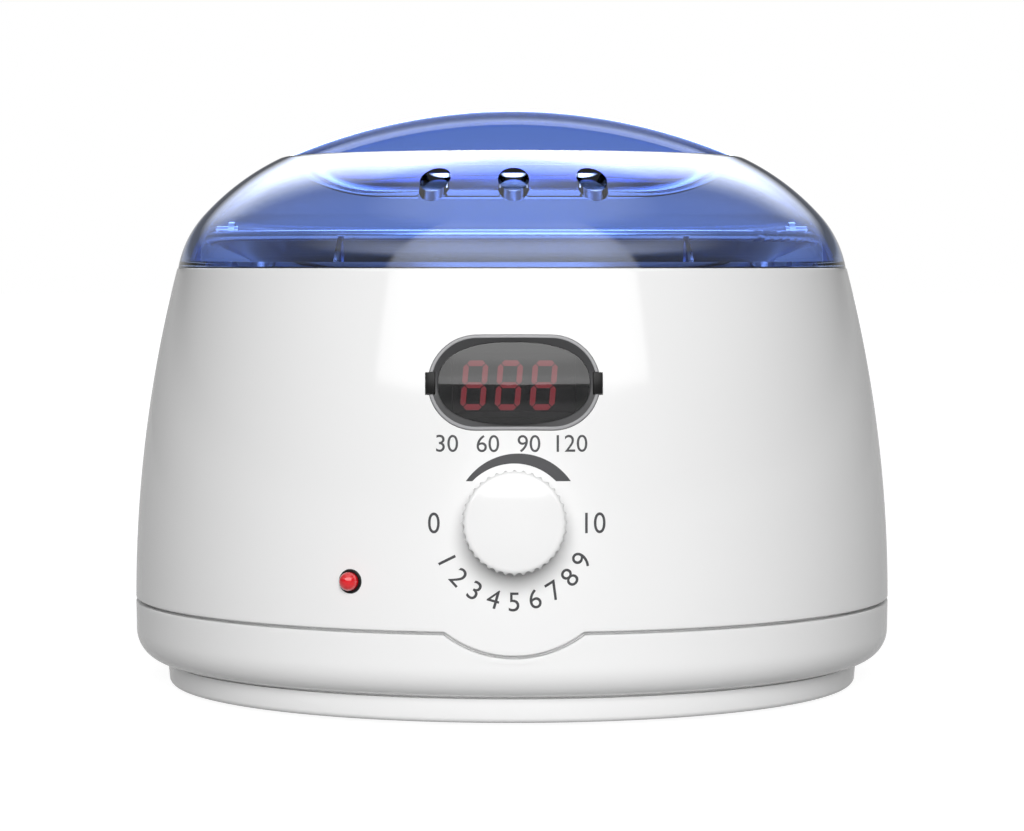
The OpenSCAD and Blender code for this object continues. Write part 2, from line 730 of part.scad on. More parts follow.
module d_cut(d, z0, z1) {
    translate([-d, d / 2 - shaft_flat, z0]) cube([2 * d, d, z1 - z0]);
}

module thermostat_shaft() {
    color([0.75, 0.75, 0.77]) at_wall(0, knob_z) difference() {
        translate([0, 0, case_top - 7.5]) cylinder(d = shaft_d, h = shaft_top - case_top + 7.5);
        d_cut(shaft_d, knob_hub_z + 0.3, shaft_top + 1);
    }
}

knob_edge = 1.6;
knob_dome_h = 0.9;

module knob() {
    r = knob_d / 2;
    face_r = r - knob_edge;
    dome_r = (face_r * face_r + knob_dome_h * knob_dome_h) / (2 * knob_dome_h);
    top = knob_clear + knob_h;
    dome_end = asin(face_r / dome_r);
    hub_r = shaft_d / 2 + 2;
    bore_r = shaft_d / 2 + run_gap;
    color("white") at_wall(0, knob_z) {
        difference() {
            intersection() {
                translate([0, 0, knob_clear]) linear_extrude(knob_h) difference() {
                    circle(r = r);
                    for (i = [0:scallops - 1]) rotate(360 * i / scallops) translate([r + 0.35, 0])
                        circle(r = 0.85, $fn = 24);
                }
                rotate_extrude() polygon(concat([[0, 0]], [[r - 0.3, 0]], [[r, 2]],
                    arc_pts([face_r, top - knob_dome_h - knob_edge], knob_edge, 0, 76, 4),
                    arc_pts([0, top - dome_r], dome_r, 90 - dome_end, 90, 8)));
            }
            difference() {
                translate([0, 0, -1]) cylinder(r = r - 2.4, h = knob_h - 2.6);
                cylinder(r = hub_r, h = knob_h);
            }
            translate([0, 0, -1]) cylinder(r = hub_r + 0.1, h = knob_hub_z + 1);
            translate([0, 0, -1]) cylinder(r = bore_r, h = shaft_top + 1.2);
        }
        // Flat of the D bore
        intersection() {
            translate([0, 0, knob_hub_z + 0.5]) cylinder(r = bore_r + 0.5, h = shaft_top - knob_hub_z);
            translate([0, run_gap, 0]) d_cut(shaft_d, knob_hub_z + 0.5, shaft_top + 0.5);
        }
    }
}

// Bulb of the capillary thermostat, clipped under the cup
bulb_d = 5;
bulb_l = 46;
bulb_z = cup_floor_z - cup_t - bulb_d / 2 - 0.1;
bulb_y = -20;

module sensing_bulb() {
    color([0.78, 0.5, 0.32]) translate([-bulb_l / 2, bulb_y, bulb_z]) rotate([0, 90, 0]) {
        cylinder(d = bulb_d, h = bulb_l);
        translate([0, 0, bulb_l - 0.5]) cylinder(d = 2.4, h = 4);
    }
}

module bulb_clip() {
    reach = bulb_d / 2 + 0.9;
    color([0.7, 0.7, 0.72]) for (x = [-14, 14]) translate([x - 4, bulb_y, 0]) rotate([90, 0, 90])
        linear_extrude(8) difference() {
            union() {
                translate([0, bulb_z]) circle(r = reach);
                translate([-reach, bulb_z]) square([2 * reach, cup_floor_z - cup_t - bulb_z]);
                translate([-reach - 5, cup_floor_z - cup_t - 0.8]) square([2 * reach + 10, 0.8]);
            }
            translate([0, bulb_z]) circle(r = bulb_d / 2 + run_gap);
            translate([-bulb_d / 2 - run_gap, bulb_z]) square([bulb_d + 2 * run_gap, 10]);
        }
}

module capillary_tube() {
    case_y = -case_h / 2;
    case_z = case_top - case_depth + 4;
    color([0.78, 0.5, 0.32]) swept_tube([
        [bulb_l / 2 + 3.6, bulb_y, bulb_z], [bulb_l / 2 + 12, bulb_y, bulb_z],
        [bulb_l / 2 + 24, bulb_y - 6, bulb_z], [50, -42, bulb_z - 0.6], [40, -60, bulb_z - 0.6],
        [26, -71, bulb_z], at_knob(15, case_y - 5, case_z), at_knob(12, case_y - 0.1, case_z)], 0.8, 3, 8);
}

fuse_d = 4;
fuse_turn = 150;
fuse_l = 8;
fuse_z = heater_z - fuse_l - 2.4;

module thermal_fuse() {
    fuse_r = cup_r + fuse_d / 2 + run_gap;
    color([0.85, 0.85, 0.83]) ring_of([fuse_turn], fuse_r) translate([0, 0, fuse_z + 1]) {
        cylinder(d = fuse_d, h = fuse_l);
        translate([0, 0, -4]) cylinder(d = 1, h = fuse_l + 4.8);
    }
}

module fuse_clip() {
    reach = fuse_d / 2 + 0.8;
    color([0.7, 0.7, 0.72]) ring_of([fuse_turn], cup_r) translate([0, 0, fuse_z + 4.5])
        linear_extrude(4) difference() {
            union() {
                translate([0, -fuse_d / 2 - run_gap]) circle(r = reach);
                translate([-reach, -fuse_d / 2]) square([2 * reach, fuse_d / 2 - 0.15]);
                translate([-reach - 3, -0.95]) square([2 * reach + 6, 0.8]);
            }
            translate([0, -fuse_d / 2 - run_gap]) circle(r = fuse_d / 2 + 0.04);
            translate([-fuse_d / 2 - 0.04, -fuse_d / 2 - run_gap]) square([fuse_d + 0.08, 10]);
            translate([0, cup_r]) circle(r = cup_r + run_gap, $fn = 360);
        }
}

clip_w = 1.3;
clip_h = 4.9;
clip_x = bezel_w / 2;
bezel_back = -6;
bezel_out = 0.6;
lens_back = -3;
lens_out = 0.35;
lens_crown = 0.8;
lens_crown_r = 60;

// Slots for the two clips at the ends of the display
module clip_cuts() {
    for (side = [-1, 1]) translate([side * clip_x, 0])
        square([clip_w + 2 * fit_gap, clip_h + 2 * fit_gap], center = true);
}

// Solid inside the wall's face grown by out, in the row of the display's height
module side_solid(out) {
    rotate_extrude() side_section(out, display_z - bezel_h, display_z + bezel_h);
}

module display_bezel() {
    rim = bezel_rim;
    color([0.55, 0.55, 0.57]) intersection() {
        side_solid(bezel_out);
        at_wall(0, display_z) difference() {
            translate([0, 0, bezel_back]) linear_extrude(12) stadium(bezel_w, bezel_h);
            translate([0, 0, lens_back]) linear_extrude(12) stadium(bezel_w - 2 * rim, bezel_h - 2 * rim);
            translate([0, 0, bezel_back - 1]) linear_extrude(20)
                stadium(bezel_w - 2 * rim - 1.6, bezel_h - 2 * rim - 1.6);
            translate([0, 0, bezel_back - 1]) linear_extrude(20) clip_cuts();
        }
    }
}

module display_lens() {
    inset = bezel_rim + fit_gap;
    color([0.2, 0.2, 0.21, 0.8]) intersection() {
        at_wall(0, display_z) translate([0, 0, lens_back]) linear_extrude(12)
            difference() {
                stadium(bezel_w - 2 * inset, bezel_h - 2 * inset);
                clip_cuts();
            }
        union() {
            side_solid(lens_out);
            at_wall(0, display_z) translate([0, 0, lens_out + lens_crown - lens_crown_r])
                sphere(r = lens_crown_r, $fn = 360);
        }
    }
}

module display_clip(side) {
    color([0.05, 0.05, 0.05]) intersection() {
        side_solid(bezel_out + 0.5);
        at_wall(0, display_z) translate([side * clip_x - clip_w / 2, -clip_h / 2, bezel_back - 2])
            cube([clip_w, clip_h, 14]);
    }
}

module digit_block() {
    color([0.1, 0.1, 0.1]) at_wall(0, display_z) translate([-block_w / 2, -block_h / 2, board_front])
        cube([block_w, block_h, block_face - board_front]);
}

digit_shift = -1.1;
digit_w = 5.5;
stroke = 1.2;
slant_deg = 5;

// One bar of a digit, lying along X, with mitred ends
module bar(length) {
    half = length / 2;
    tip = stroke / 2;
    polygon([[-half, 0], [-half + tip, tip], [half - tip, tip],
             [half, 0], [half - tip, -tip], [-half + tip, -tip]]);
}

module digit_segments() {
    leg = (digit_h - stroke) / 2;
    arm = digit_w - stroke;
    gap = 0.35;
    color([0.65, 0.12, 0.14]) at_wall(0, display_z) translate([0, 0, block_face]) linear_extrude(segment_t)
        for (place = [-1:1]) translate([digit_shift + place * digit_pitch, 0])
            multmatrix([[1, tan(slant_deg), 0, 0], [0, 1, 0, 0], [0, 0, 1, 0], [0, 0, 0, 1]]) {
                for (level = [-1:1]) translate([0, level * leg]) bar(arm - gap);
                for (side = [-1, 1], half = [-1, 1])
                    translate([side * arm / 2, half * leg / 2]) rotate(90) bar(leg - gap);
            }
}

module display_board() {
    color([0.1, 0.4, 0.2]) at_wall(0, display_z) difference() {
        translate([-board_w / 2, -board_h / 2, board_front - board_t]) cube([board_w, board_h, board_t]);
        for (x = [-post_x, post_x], y = [-post_y, post_y])
            translate([x, y, board_front - 5]) cylinder(d = 2.2, h = 10);
    }
}

module board_screws() {
    color([0.7, 0.7, 0.72]) at_wall(0, display_z) for (x = [-post_x, post_x], y = [-post_y, post_y])
        translate([x, y, board_front - board_t - 1.2]) {
            cylinder(d = 3.8, h = 1.2);
            translate([0, 0, 1]) cylinder(d = 1.7, h = 6);
        }
}

lamp_r = lamp_d / 2;
holder_in_r = lamp_r + run_gap;
holder_out_r = holder_in_r + 0.25;
lamp_hole_r = holder_out_r + run_gap;
lamp_flange = 0.5;
lip_back = -0.4;
// The holder's lip leaves this radius of the lamp's dome free
dome_r = lamp_r - 0.3;

module indicator_lamp() {
    dome_z = 1;
    color([0.8, 0.05, 0.08]) at_wall(-lamp_turn, lamp_z) {
        rotate_extrude() polygon(concat([[0, -7.5], [lamp_r + lamp_flange, -7.5],
                                         [lamp_r + lamp_flange, -6.5], [lamp_r, -6.5],
                                         [lamp_r, lip_back - run_gap], [dome_r, lip_back - run_gap]],
                                        arc_pts([0, dome_z], dome_r, 0, 90, 10)));
        for (x = [-1.27, 1.27]) translate([x, 0, -18]) cylinder(d = 0.6, h = 11);
    }
}

module lamp_holder() {
    color([0.06, 0.06, 0.06]) at_wall(-lamp_turn, lamp_z) rotate_extrude() difference() {
        union() {
            translate([0, -6.4]) square([holder_out_r, 6.8]);
            translate([0, -6.4]) square([holder_out_r + 1.6, 6.4 - wall - 0.15]);
        }
        translate([0, -10]) square([holder_in_r, 10 + lip_back]);
        translate([0, -10]) square([dome_r + run_gap, 20]);
    }
}

block_y = 50;

module terminal_block() {
    color([0.92, 0.9, 0.84]) translate([0, block_y, plate_z1]) difference() {
        union() {
            translate([-16, -7, 0]) cube([32, 14, 9]);
            for (x = [-10, 0, 10]) translate([x - 4, -5, 8]) cube([8, 10, 3]);
        }
        for (x = [-10, 0, 10]) {
            translate([x, 0, 5]) cylinder(d = 3.6, h = 10);
            translate([x, -10, 4.5]) rotate([-90, 0, 0]) cylinder(d = 2.6, h = 20);
        }
    }
}

lead_r = 0.9;

// Leads from the terminal block to the heater band, the thermostat and the fuse
module inner_leads() {
    lead_z = plate_z1 + 4.5;
    start_y = block_y - 8;
    color([0.75, 0.2, 0.16]) {
        swept_tube([[-10, start_y, lead_z], [-12, start_y - 8, lead_z + 1], [-30, 18, lead_z + 2],
                    [-36, -10, lead_z + 2], [-34, -40, lead_z + 3], [-26, -62, lead_z + 7],
                    [-14, -76, lead_z + 11],
                    at_knob(-8, -case_h / 2 - 6, case_top - case_depth / 2),
                    at_knob(-8, -case_h / 2 - 0.3, case_top - case_depth / 2)], lead_r, 3, 8);
        swept_tube([[10, block_y + 8, lead_z], [14, block_y + 14, lead_z + 1], [20, 68, lead_z + 8],
                    [16, 72, 36], [8, 73, 50],
                    [4.6, heater_out + 5, heater_z + heater_h / 2 - ear_h / 2 - 0.3]], lead_r, 3, 8);
    }
}

bush_length = 6;
// The bush grips the cord in its nose and opens wider behind, so that the cord bends freely
bush_inner_r = bush_bore_r + 0.6;
bush_grip = 5.6;
bush_cone_h = 0.6;
bush_cone_z = bush_nose - bush_grip - bush_cone_h;

module cord_bush() {
    color([0.08, 0.08, 0.08]) difference() {
        union() {
            translate([0, wall_r(bush_z), bush_z]) rotate([-90, 0, 0]) rotate_extrude()
                polygon([[0, -bush_length], [bush_r - 0.6, -bush_length], [bush_r + 0.9, -wall - 1.4],
                         [bush_r + 0.9, -wall - 0.5], [bush_r, -wall - 0.5], [bush_r, bush_seat],
                         [bush_flange_r, bush_seat], [bush_flange_r, 2], [bush_flange_r - 0.6, 2.6],
                         [bush_r, 2.6], [bush_r - 0.8, bush_nose], [0, bush_nose]]);
            intersection() {
                cord_slot(0);
                rotate_extrude() side_skin(-wall, 0, parting_z + seam / 2, bush_z + bush_r);
            }
        }
        translate([0, wall_r(bush_z), bush_z]) rotate([-90, 0, 0]) {
            cylinder(r = bush_bore_r, h = bush_nose + 1);
            translate([0, 0, -bush_length - 1]) cylinder(r = bush_inner_r, h = bush_cone_z + bush_length + 1);
            translate([0, 0, bush_cone_z]) cylinder(r1 = bush_inner_r, r2 = bush_bore_r, h = bush_cone_h);
        }
    }
}

place() lid();
place() inner_pot();
place() pot_handle();
place() upper_housing();
place() base_shell();
place() bottom_cover();
place() rubber_foot(foot_turns[0]);  // foot_front_left
place() rubber_foot(foot_turns[1]);  // foot_front_right
place() rubber_foot(foot_turns[2]);  // foot_rear_right
place() rubber_foot(foot_turns[3]);  // foot_rear_left
place() housing_screws();
place() cover_screws();
place() heating_cup();
place() cup_seal();
place() cup_screws();
place() heater_band();
place() band_screw();
place() heat_shield();
place() shield_screws();
place() thermostat_body();
place() thermostat_nut();
place() thermostat_shaft();
place() knob();
place() sensing_bulb();
place() bulb_clip();
place() capillary_tube();
place() thermal_fuse();
place() fuse_clip();
place() display_bezel();
place() display_lens();
place() display_clip(-1);  // display_clip_left
place() display_clip(1);  // display_clip_right
place() digit_block();
place() digit_segments();
place() display_board();
place() board_screws();
place() indicator_lamp();
place() lamp_holder();
place() terminal_block();
place() inner_leads();
place() cord_bush();
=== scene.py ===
import json
import math

import bmesh
import bpy
from mathutils import Matrix, Vector

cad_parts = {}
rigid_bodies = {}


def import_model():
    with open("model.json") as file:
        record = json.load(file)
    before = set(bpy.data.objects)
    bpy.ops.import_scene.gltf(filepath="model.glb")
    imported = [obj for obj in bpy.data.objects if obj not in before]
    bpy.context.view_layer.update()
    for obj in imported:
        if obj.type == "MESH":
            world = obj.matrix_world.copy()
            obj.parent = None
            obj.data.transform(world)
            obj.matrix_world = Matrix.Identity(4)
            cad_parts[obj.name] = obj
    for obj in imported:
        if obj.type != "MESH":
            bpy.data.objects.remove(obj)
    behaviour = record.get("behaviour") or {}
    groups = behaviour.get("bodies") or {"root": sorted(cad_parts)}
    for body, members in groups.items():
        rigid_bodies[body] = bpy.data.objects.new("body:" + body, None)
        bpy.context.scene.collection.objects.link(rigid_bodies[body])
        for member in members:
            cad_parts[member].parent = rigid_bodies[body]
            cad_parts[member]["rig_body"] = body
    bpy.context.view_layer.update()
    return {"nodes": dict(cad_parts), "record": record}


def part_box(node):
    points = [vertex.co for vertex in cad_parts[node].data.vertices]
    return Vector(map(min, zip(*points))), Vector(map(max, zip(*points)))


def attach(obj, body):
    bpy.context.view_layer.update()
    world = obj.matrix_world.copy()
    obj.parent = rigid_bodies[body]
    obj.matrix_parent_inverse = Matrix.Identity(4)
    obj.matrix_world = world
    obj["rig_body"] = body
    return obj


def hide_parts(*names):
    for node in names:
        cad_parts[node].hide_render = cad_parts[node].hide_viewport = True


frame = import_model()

mm = 0.001
mergeGap = 2e-6  # metres
sharpAngle = 32  # an edge that bends further is shaded sharp
lidLow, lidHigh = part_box("lid")
axisY = (lidLow.y + lidHigh.y) / 2  # the round body's own axis
scene = bpy.context.scene

body = {"sideRadius": 320, "sideCentre": -227, "partingZ": 22, "seatZ": 103, "wall": 2.5, "seam": 0.7}
partingZ, seatZ, wall = body["partingZ"], body["seatZ"], body["wall"]


# Outlines, spins and cuts

def wallRadius(z):
    return body["sideCentre"] + math.sqrt(body["sideRadius"] ** 2 - (z - partingZ) ** 2)


def wallTilt(z):
    return math.asin((z - partingZ) / body["sideRadius"])


def spread(low, high, count):
    return [low + (high - low) * i / count for i in range(count + 1)]


def arc(centreX, centreY, radius, start, end, steps):
    turns = [math.radians(turn) for turn in spread(start, end, steps)]
    return [(centreX + radius * math.cos(t), centreY + radius * math.sin(t)) for t in turns]


# The same, with turns measured from straight up
def upArc(centre, radius, start, end, steps):
    return arc(centre[0], centre[1], radius, 90 - start, 90 - end, steps)


# A corner that has a third value is rounded with it as the radius
def softCorners(outline, steps=3):
    points = []
    for i, corner in enumerate(outline):
        if len(corner) < 3:
            points.append(tuple(corner))
            continue
        here = Vector(corner[:2])
        before = Vector(outline[i - 1][:2]) - here
        after = Vector(outline[(i + 1) % len(outline)][:2]) - here
        half = before.angle(after) / 2
        radius = corner[2]
        middle = here + (before.normalized() + after.normalized()).normalized() * radius / math.sin(half)
        reach = radius / math.tan(half)
        first = here + before.normalized() * reach - middle
        last = here + after.normalized() * reach - middle
        for k in range(steps + 1):
            mixed = first.lerp(last, k / steps)
            spot = middle + mixed.normalized() * radius
            points.append((spot.x, spot.y))
    return points


def outward(bm):
    bmesh.ops.recalc_face_normals(bm, faces=bm.faces)
    if bm.calc_volume(signed=True) < 0:
        bmesh.ops.reverse_faces(bm, faces=bm.faces)
    return bm


# Turned solid from radius and height, in one or more stretches of start, end and steps
def spinOutline(outline, stretches=((0, 360, 256),)):
    bm = bmesh.new()
    for start, end, steps in stretches:
        verts = [bm.verts.new((r * mm, 0, z * mm)) for r, z in outline]
        edges = [bm.edges.new(pair) for pair in zip(verts, verts[1:] + verts[:1])]
        turn = Matrix.Rotation(math.radians(start - 90), 3, "Z")
        bmesh.ops.rotate(bm, cent=(0, 0, 0), matrix=turn, verts=verts)
        bmesh.ops.spin(bm, geom=verts + edges, cent=(0, 0, 0), axis=(0, 0, 1),
                       angle=math.radians(end - start), steps=steps, use_merge=end - start == 360)
    bmesh.ops.remove_doubles(bm, verts=bm.verts, dist=mergeGap)
    return outward(bm)


def moved(bm, matrix):
    bmesh.ops.transform(bm, matrix=matrix, verts=bm.verts)
    return bm


def onAxis(bm):
    bmesh.ops.translate(bm, verts=bm.verts, vec=(0, axisY, 0))
    return bm


# Wall coordinates at a turn and a height: X to the right, Y up the wall and Z out of it, in millimetres
def onWall(turn, z):
    place = Matrix.Translation((0, axisY, 0)) @ Matrix.Rotation(math.radians(turn), 4, "Z")
    place = place @ Matrix.Translation((0, -wallRadius(z) * mm, z * mm))
    return place @ Matrix.Rotation(math.radians(90) - wallTilt(z), 4, "X") @ Matrix.Scale(mm, 4)


# A turned solid is in metres already
def stoodOnWall(bm, matrix):
    return moved(bm, matrix @ Matrix.Scale(1 / mm, 4))


def prism(outline, low, high):
    bm = bmesh.new()
    face = bm.faces.new([bm.verts.new((x, y, low)) for x, y in outline])
    grown = bmesh.ops.extrude_face_region(bm, geom=[face])["geom"]
    raised = [g for g in grown if isinstance(g, bmesh.types.BMVert)]
    bmesh.ops.translate(bm, verts=raised, vec=(0, 0, high - low))
    return outward(bm)


def cutter(outline, matrix, depth, out=9):
    return moved(prism(outline, -depth, out), matrix)


# The flat sides have points too, so that they can follow the wall
def stadium(width, height, steps=32, flatSteps=12):
    reach = (width - height) / 2
    flat = [(reach * (1 - 2 * k / flatSteps), height / 2) for k in range(1, flatSteps)]
    return (arc(reach, 0, height / 2, -90, 90, steps) + flat + arc(-reach, 0, height / 2, 90, 270, steps)
            + [(-x, -y) for x, y in flat])


def circle(radius, steps=64):
    return arc(0, 0, radius, 0, 360, steps)[:-1]


def rectangle(width, height, x=0, y=0):
    return [(x - width / 2, y - height / 2), (x + width / 2, y - height / 2),
            (x + width / 2, y + height / 2), (x - width / 2, y + height / 2)]


def shade(mesh, limit):
    bm = bmesh.new()
    bm.from_mesh(mesh)
    for face in bm.faces:
        face.smooth = True
    for edge in bm.edges:
        edge.smooth = len(edge.link_faces) == 2 and edge.calc_face_angle(0) < math.radians(limit)
    bm.to_mesh(mesh)
    bm.free()


def newObject(name, bm):
    mesh = bpy.data.meshes.new(name)
    bm.to_mesh(mesh)
    bm.free()
    obj = bpy.data.objects.new(name, mesh)
    scene.collection.objects.link(obj)
    return obj


def baked(obj):
    bpy.context.view_layer.update()
    mesh = bpy.data.meshes.new_from_object(obj.evaluated_get(bpy.context.evaluated_depsgraph_get()))
    obj.modifiers.clear()
    old = obj.data
    obj.data = mesh
    bpy.data.meshes.remove(old)
    mesh.name = obj.name


def combine(obj, others, operation="DIFFERENCE"):
    for k, bm in enumerate(others):
        tool = newObject(f"{obj.name}Tool{k}", bm)
        change = obj.modifiers.new("cut", "BOOLEAN")
        change.operation = operation
        change.solver = "EXACT"
        change.object = tool
        baked(obj)
        mesh = tool.data
        bpy.data.objects.remove(tool)
        bpy.data.meshes.remove(mesh)


def dress(obj, material, bodyName, slot, *nodes, limit=sharpAngle):
    shade(obj.data, limit)
    obj.data.materials.clear()
    obj.data.materials.append(material)
    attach(obj, bodyName)
    if nodes:
        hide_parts(*nodes)


# A CAD node's own mesh, merged and smoothly shaded
def mergedCopy(nodeName, name, material, limit=sharpAngle):
    source = frame["nodes"][nodeName]
    bm = bmesh.new()
    bm.from_mesh(source.data)
    bmesh.ops.remove_doubles(bm, verts=bm.verts, dist=mergeGap)
    slot = next(p["material_slot"] for p in frame["record"]["subparts"] if p["node"] == nodeName)
    dress(newObject(name, bm), material, source["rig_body"], slot, nodeName, limit=limit)


# Shader groups and materials

def newGroup(name, inputs, outputs):
    group = bpy.data.node_groups.new(name, "ShaderNodeTree")
    for label, kind, value in inputs:
        socket = group.interface.new_socket(label, in_out="INPUT", socket_type=kind)
        socket.default_value = value
    for label, kind in outputs:
        group.interface.new_socket(label, in_out="OUTPUT", socket_type=kind)
    return group


# The inputs are values, or other nodes' outputs to be linked
def node(tree, kind, inputs=(), **settings):
    made = tree.nodes.new(kind)
    for key, value in settings.items():
        setattr(made, key, value)
    for key, value in dict(inputs).items():
        if isinstance(value, bpy.types.NodeSocket):
            tree.links.new(value, made.inputs[key])
        else:
            made.inputs[key].default_value = value
    return made


def calc(tree, operation, *values):
    return node(tree, "ShaderNodeMath", enumerate(values), operation=operation).outputs[0]


# From one pair of limits to another
def ranged(tree, value, span, levels, interpolation="LINEAR"):
    limits = {"Value": value, "From Min": span[0], "From Max": span[1], "To Min": levels[0],
              "To Max": levels[1]}
    return node(tree, "ShaderNodeMapRange", limits, interpolation_type=interpolation).outputs["Result"]


def noise(tree, place, scale, detail):
    made = node(tree, "ShaderNodeTexNoise", {"Vector": place, "Scale": scale, "Detail": detail})
    return made.outputs["Fac"]


colourKind, numberKind, vectorKind = "NodeSocketColor", "NodeSocketFloat", "NodeSocketVector"
skinOutputs = [("Colour", colourKind), ("Roughness", numberKind), ("Normal", vectorKind)]

# Moulded skin: a faint cloud in the colour, a change in the polish, and the fine ripple of a moulded face
skin = {"cloudScale": 22.0, "cloudDetail": 3.0, "rippleDetail": 2.0, "rippleDepth": 0.0002}
mouldedSkin = newGroup("mouldedSkin", [
    ("Colour", colourKind, (0.8, 0.8, 0.8, 1)), ("Cloud", numberKind, 0.02), ("Roughness", numberKind, 0.2),
    ("Polish Change", numberKind, 0.05), ("Ripple Size", numberKind, 400.0),
    ("Ripple", numberKind, 0.05)], skinOutputs)
t = mouldedSkin
given = node(t, "NodeGroupInput").outputs
place = node(t, "ShaderNodeTexCoord").outputs["Object"]
ripple = noise(t, place, given["Ripple Size"], skin["rippleDetail"])
centred = calc(t, "SUBTRACT", noise(t, place, skin["cloudScale"], skin["cloudDetail"]), 0.5)
clouded = calc(t, "ADD", calc(t, "MULTIPLY", centred, given["Cloud"]), 1.0)
tinted = node(t, "ShaderNodeVectorMath", {0: given["Colour"], "Scale": clouded}, operation="SCALE")
polish = calc(t, "MULTIPLY_ADD", centred, given["Polish Change"], given["Roughness"])
bump = node(t, "ShaderNodeBump", {"Strength": given["Ripple"], "Distance": skin["rippleDepth"],
                                  "Height": ripple})
node(t, "NodeGroupOutput", {"Colour": tinted.outputs[0], "Roughness": polish,
                            "Normal": bump.outputs["Normal"]})

# Turned metal: fine rings about the body's axis, drawn as lines of differing polish
lathe = {"lineDetail": 3.0, "cloudScale": 60.0, "cloudDetail": 3.0, "lineSpan": (0.3, 0.7),
         "lineLevels": (0.9, 1.05), "lineDepth": 0.0002}
spunMetal = newGroup("spunMetal", [
    ("Colour", colourKind, (0.8, 0.8, 0.8, 1)), ("Roughness", numberKind, 0.3),
    ("Rings Per Metre", numberKind, 2500.0), ("Line Change", numberKind, 0.15),
    ("Line Depth", numberKind, 0.1)], skinOutputs)
t = spunMetal
given = node(t, "NodeGroupInput").outputs
place = node(t, "ShaderNodeTexCoord").outputs["Object"]
shift = node(t, "ShaderNodeMapping", {"Vector": place, "Location": (0, -axisY, 0)}, vector_type="POINT")
spot = node(t, "ShaderNodeSeparateXYZ", {"Vector": shift.outputs["Vector"]}).outputs
flat = node(t, "ShaderNodeCombineXYZ", {"X": spot["X"], "Y": spot["Y"]})
reach = node(t, "ShaderNodeVectorMath", {0: flat.outputs[0]}, operation="LENGTH")
lineSpot = node(t, "ShaderNodeCombineXYZ", {"X": reach.outputs["Value"], "Y": spot["Z"]})
lines = noise(t, lineSpot.outputs[0], given["Rings Per Metre"], lathe["lineDetail"])
broken = calc(t, "MULTIPLY", lines, noise(t, place, lathe["cloudScale"], lathe["cloudDetail"]))
polish = calc(t, "MULTIPLY_ADD", broken, given["Line Change"], given["Roughness"])
dim = ranged(t, lines, lathe["lineSpan"], lathe["lineLevels"])
tinted = node(t, "ShaderNodeVectorMath", {0: given["Colour"], "Scale": dim}, operation="SCALE")
bump = node(t, "ShaderNodeBump", {"Strength": given["Line Depth"], "Distance": lathe["lineDepth"],
                                  "Height": lines})
node(t, "NodeGroupOutput", {"Colour": tinted.outputs[0], "Roughness": polish,
                            "Normal": bump.outputs["Normal"]})


def finish(name, group, values, **shaderValues):
    material = bpy.data.materials.new(name)
    material.use_nodes = True
    tree = material.node_tree
    shader = tree.nodes["Principled BSDF"]
    for label, value in shaderValues.items():
        shader.inputs[label.replace("_", " ")].default_value = value
    surface = node(tree, "ShaderNodeGroup", values, node_tree=group).outputs
    if "Colour" in values:
        tree.links.new(surface["Colour"], shader.inputs["Base Color"])
    for label in ("Roughness", "Normal"):
        tree.links.new(surface[label], shader.inputs[label])
    material.diffuse_color = values.get("Colour", (0.5, 0.5, 0.5, 1))
    return material


def moulded(name, colour, roughness, change=0.04, cloud=0.03, size=400.0, ripple=0.03, **shaderValues):
    values = {"Cloud": cloud, "Roughness": roughness, "Polish Change": change, "Ripple Size": size,
              "Ripple": ripple}
    if colour:
        values["Colour"] = (*colour, 1)
    return finish(name, mouldedSkin, values, **shaderValues)


# Clear plastic is plain and polished, and takes its tint from the shader
def clear(name, tint, **shaderValues):
    return moulded(name, None, 0.0, change=0.0, cloud=0.0, ripple=0.0, Base_Color=(*tint, 1),
                   Transmission_Weight=1.0, **shaderValues)


def turned(name, colour, roughness, rings=2500.0, change=0.15, depth=0.1):
    values = {"Colour": (*colour, 1), "Roughness": roughness, "Rings Per Metre": rings, "Line Change": change,
              "Line Depth": depth}
    return finish(name, spunMetal, values, Metallic=1.0)


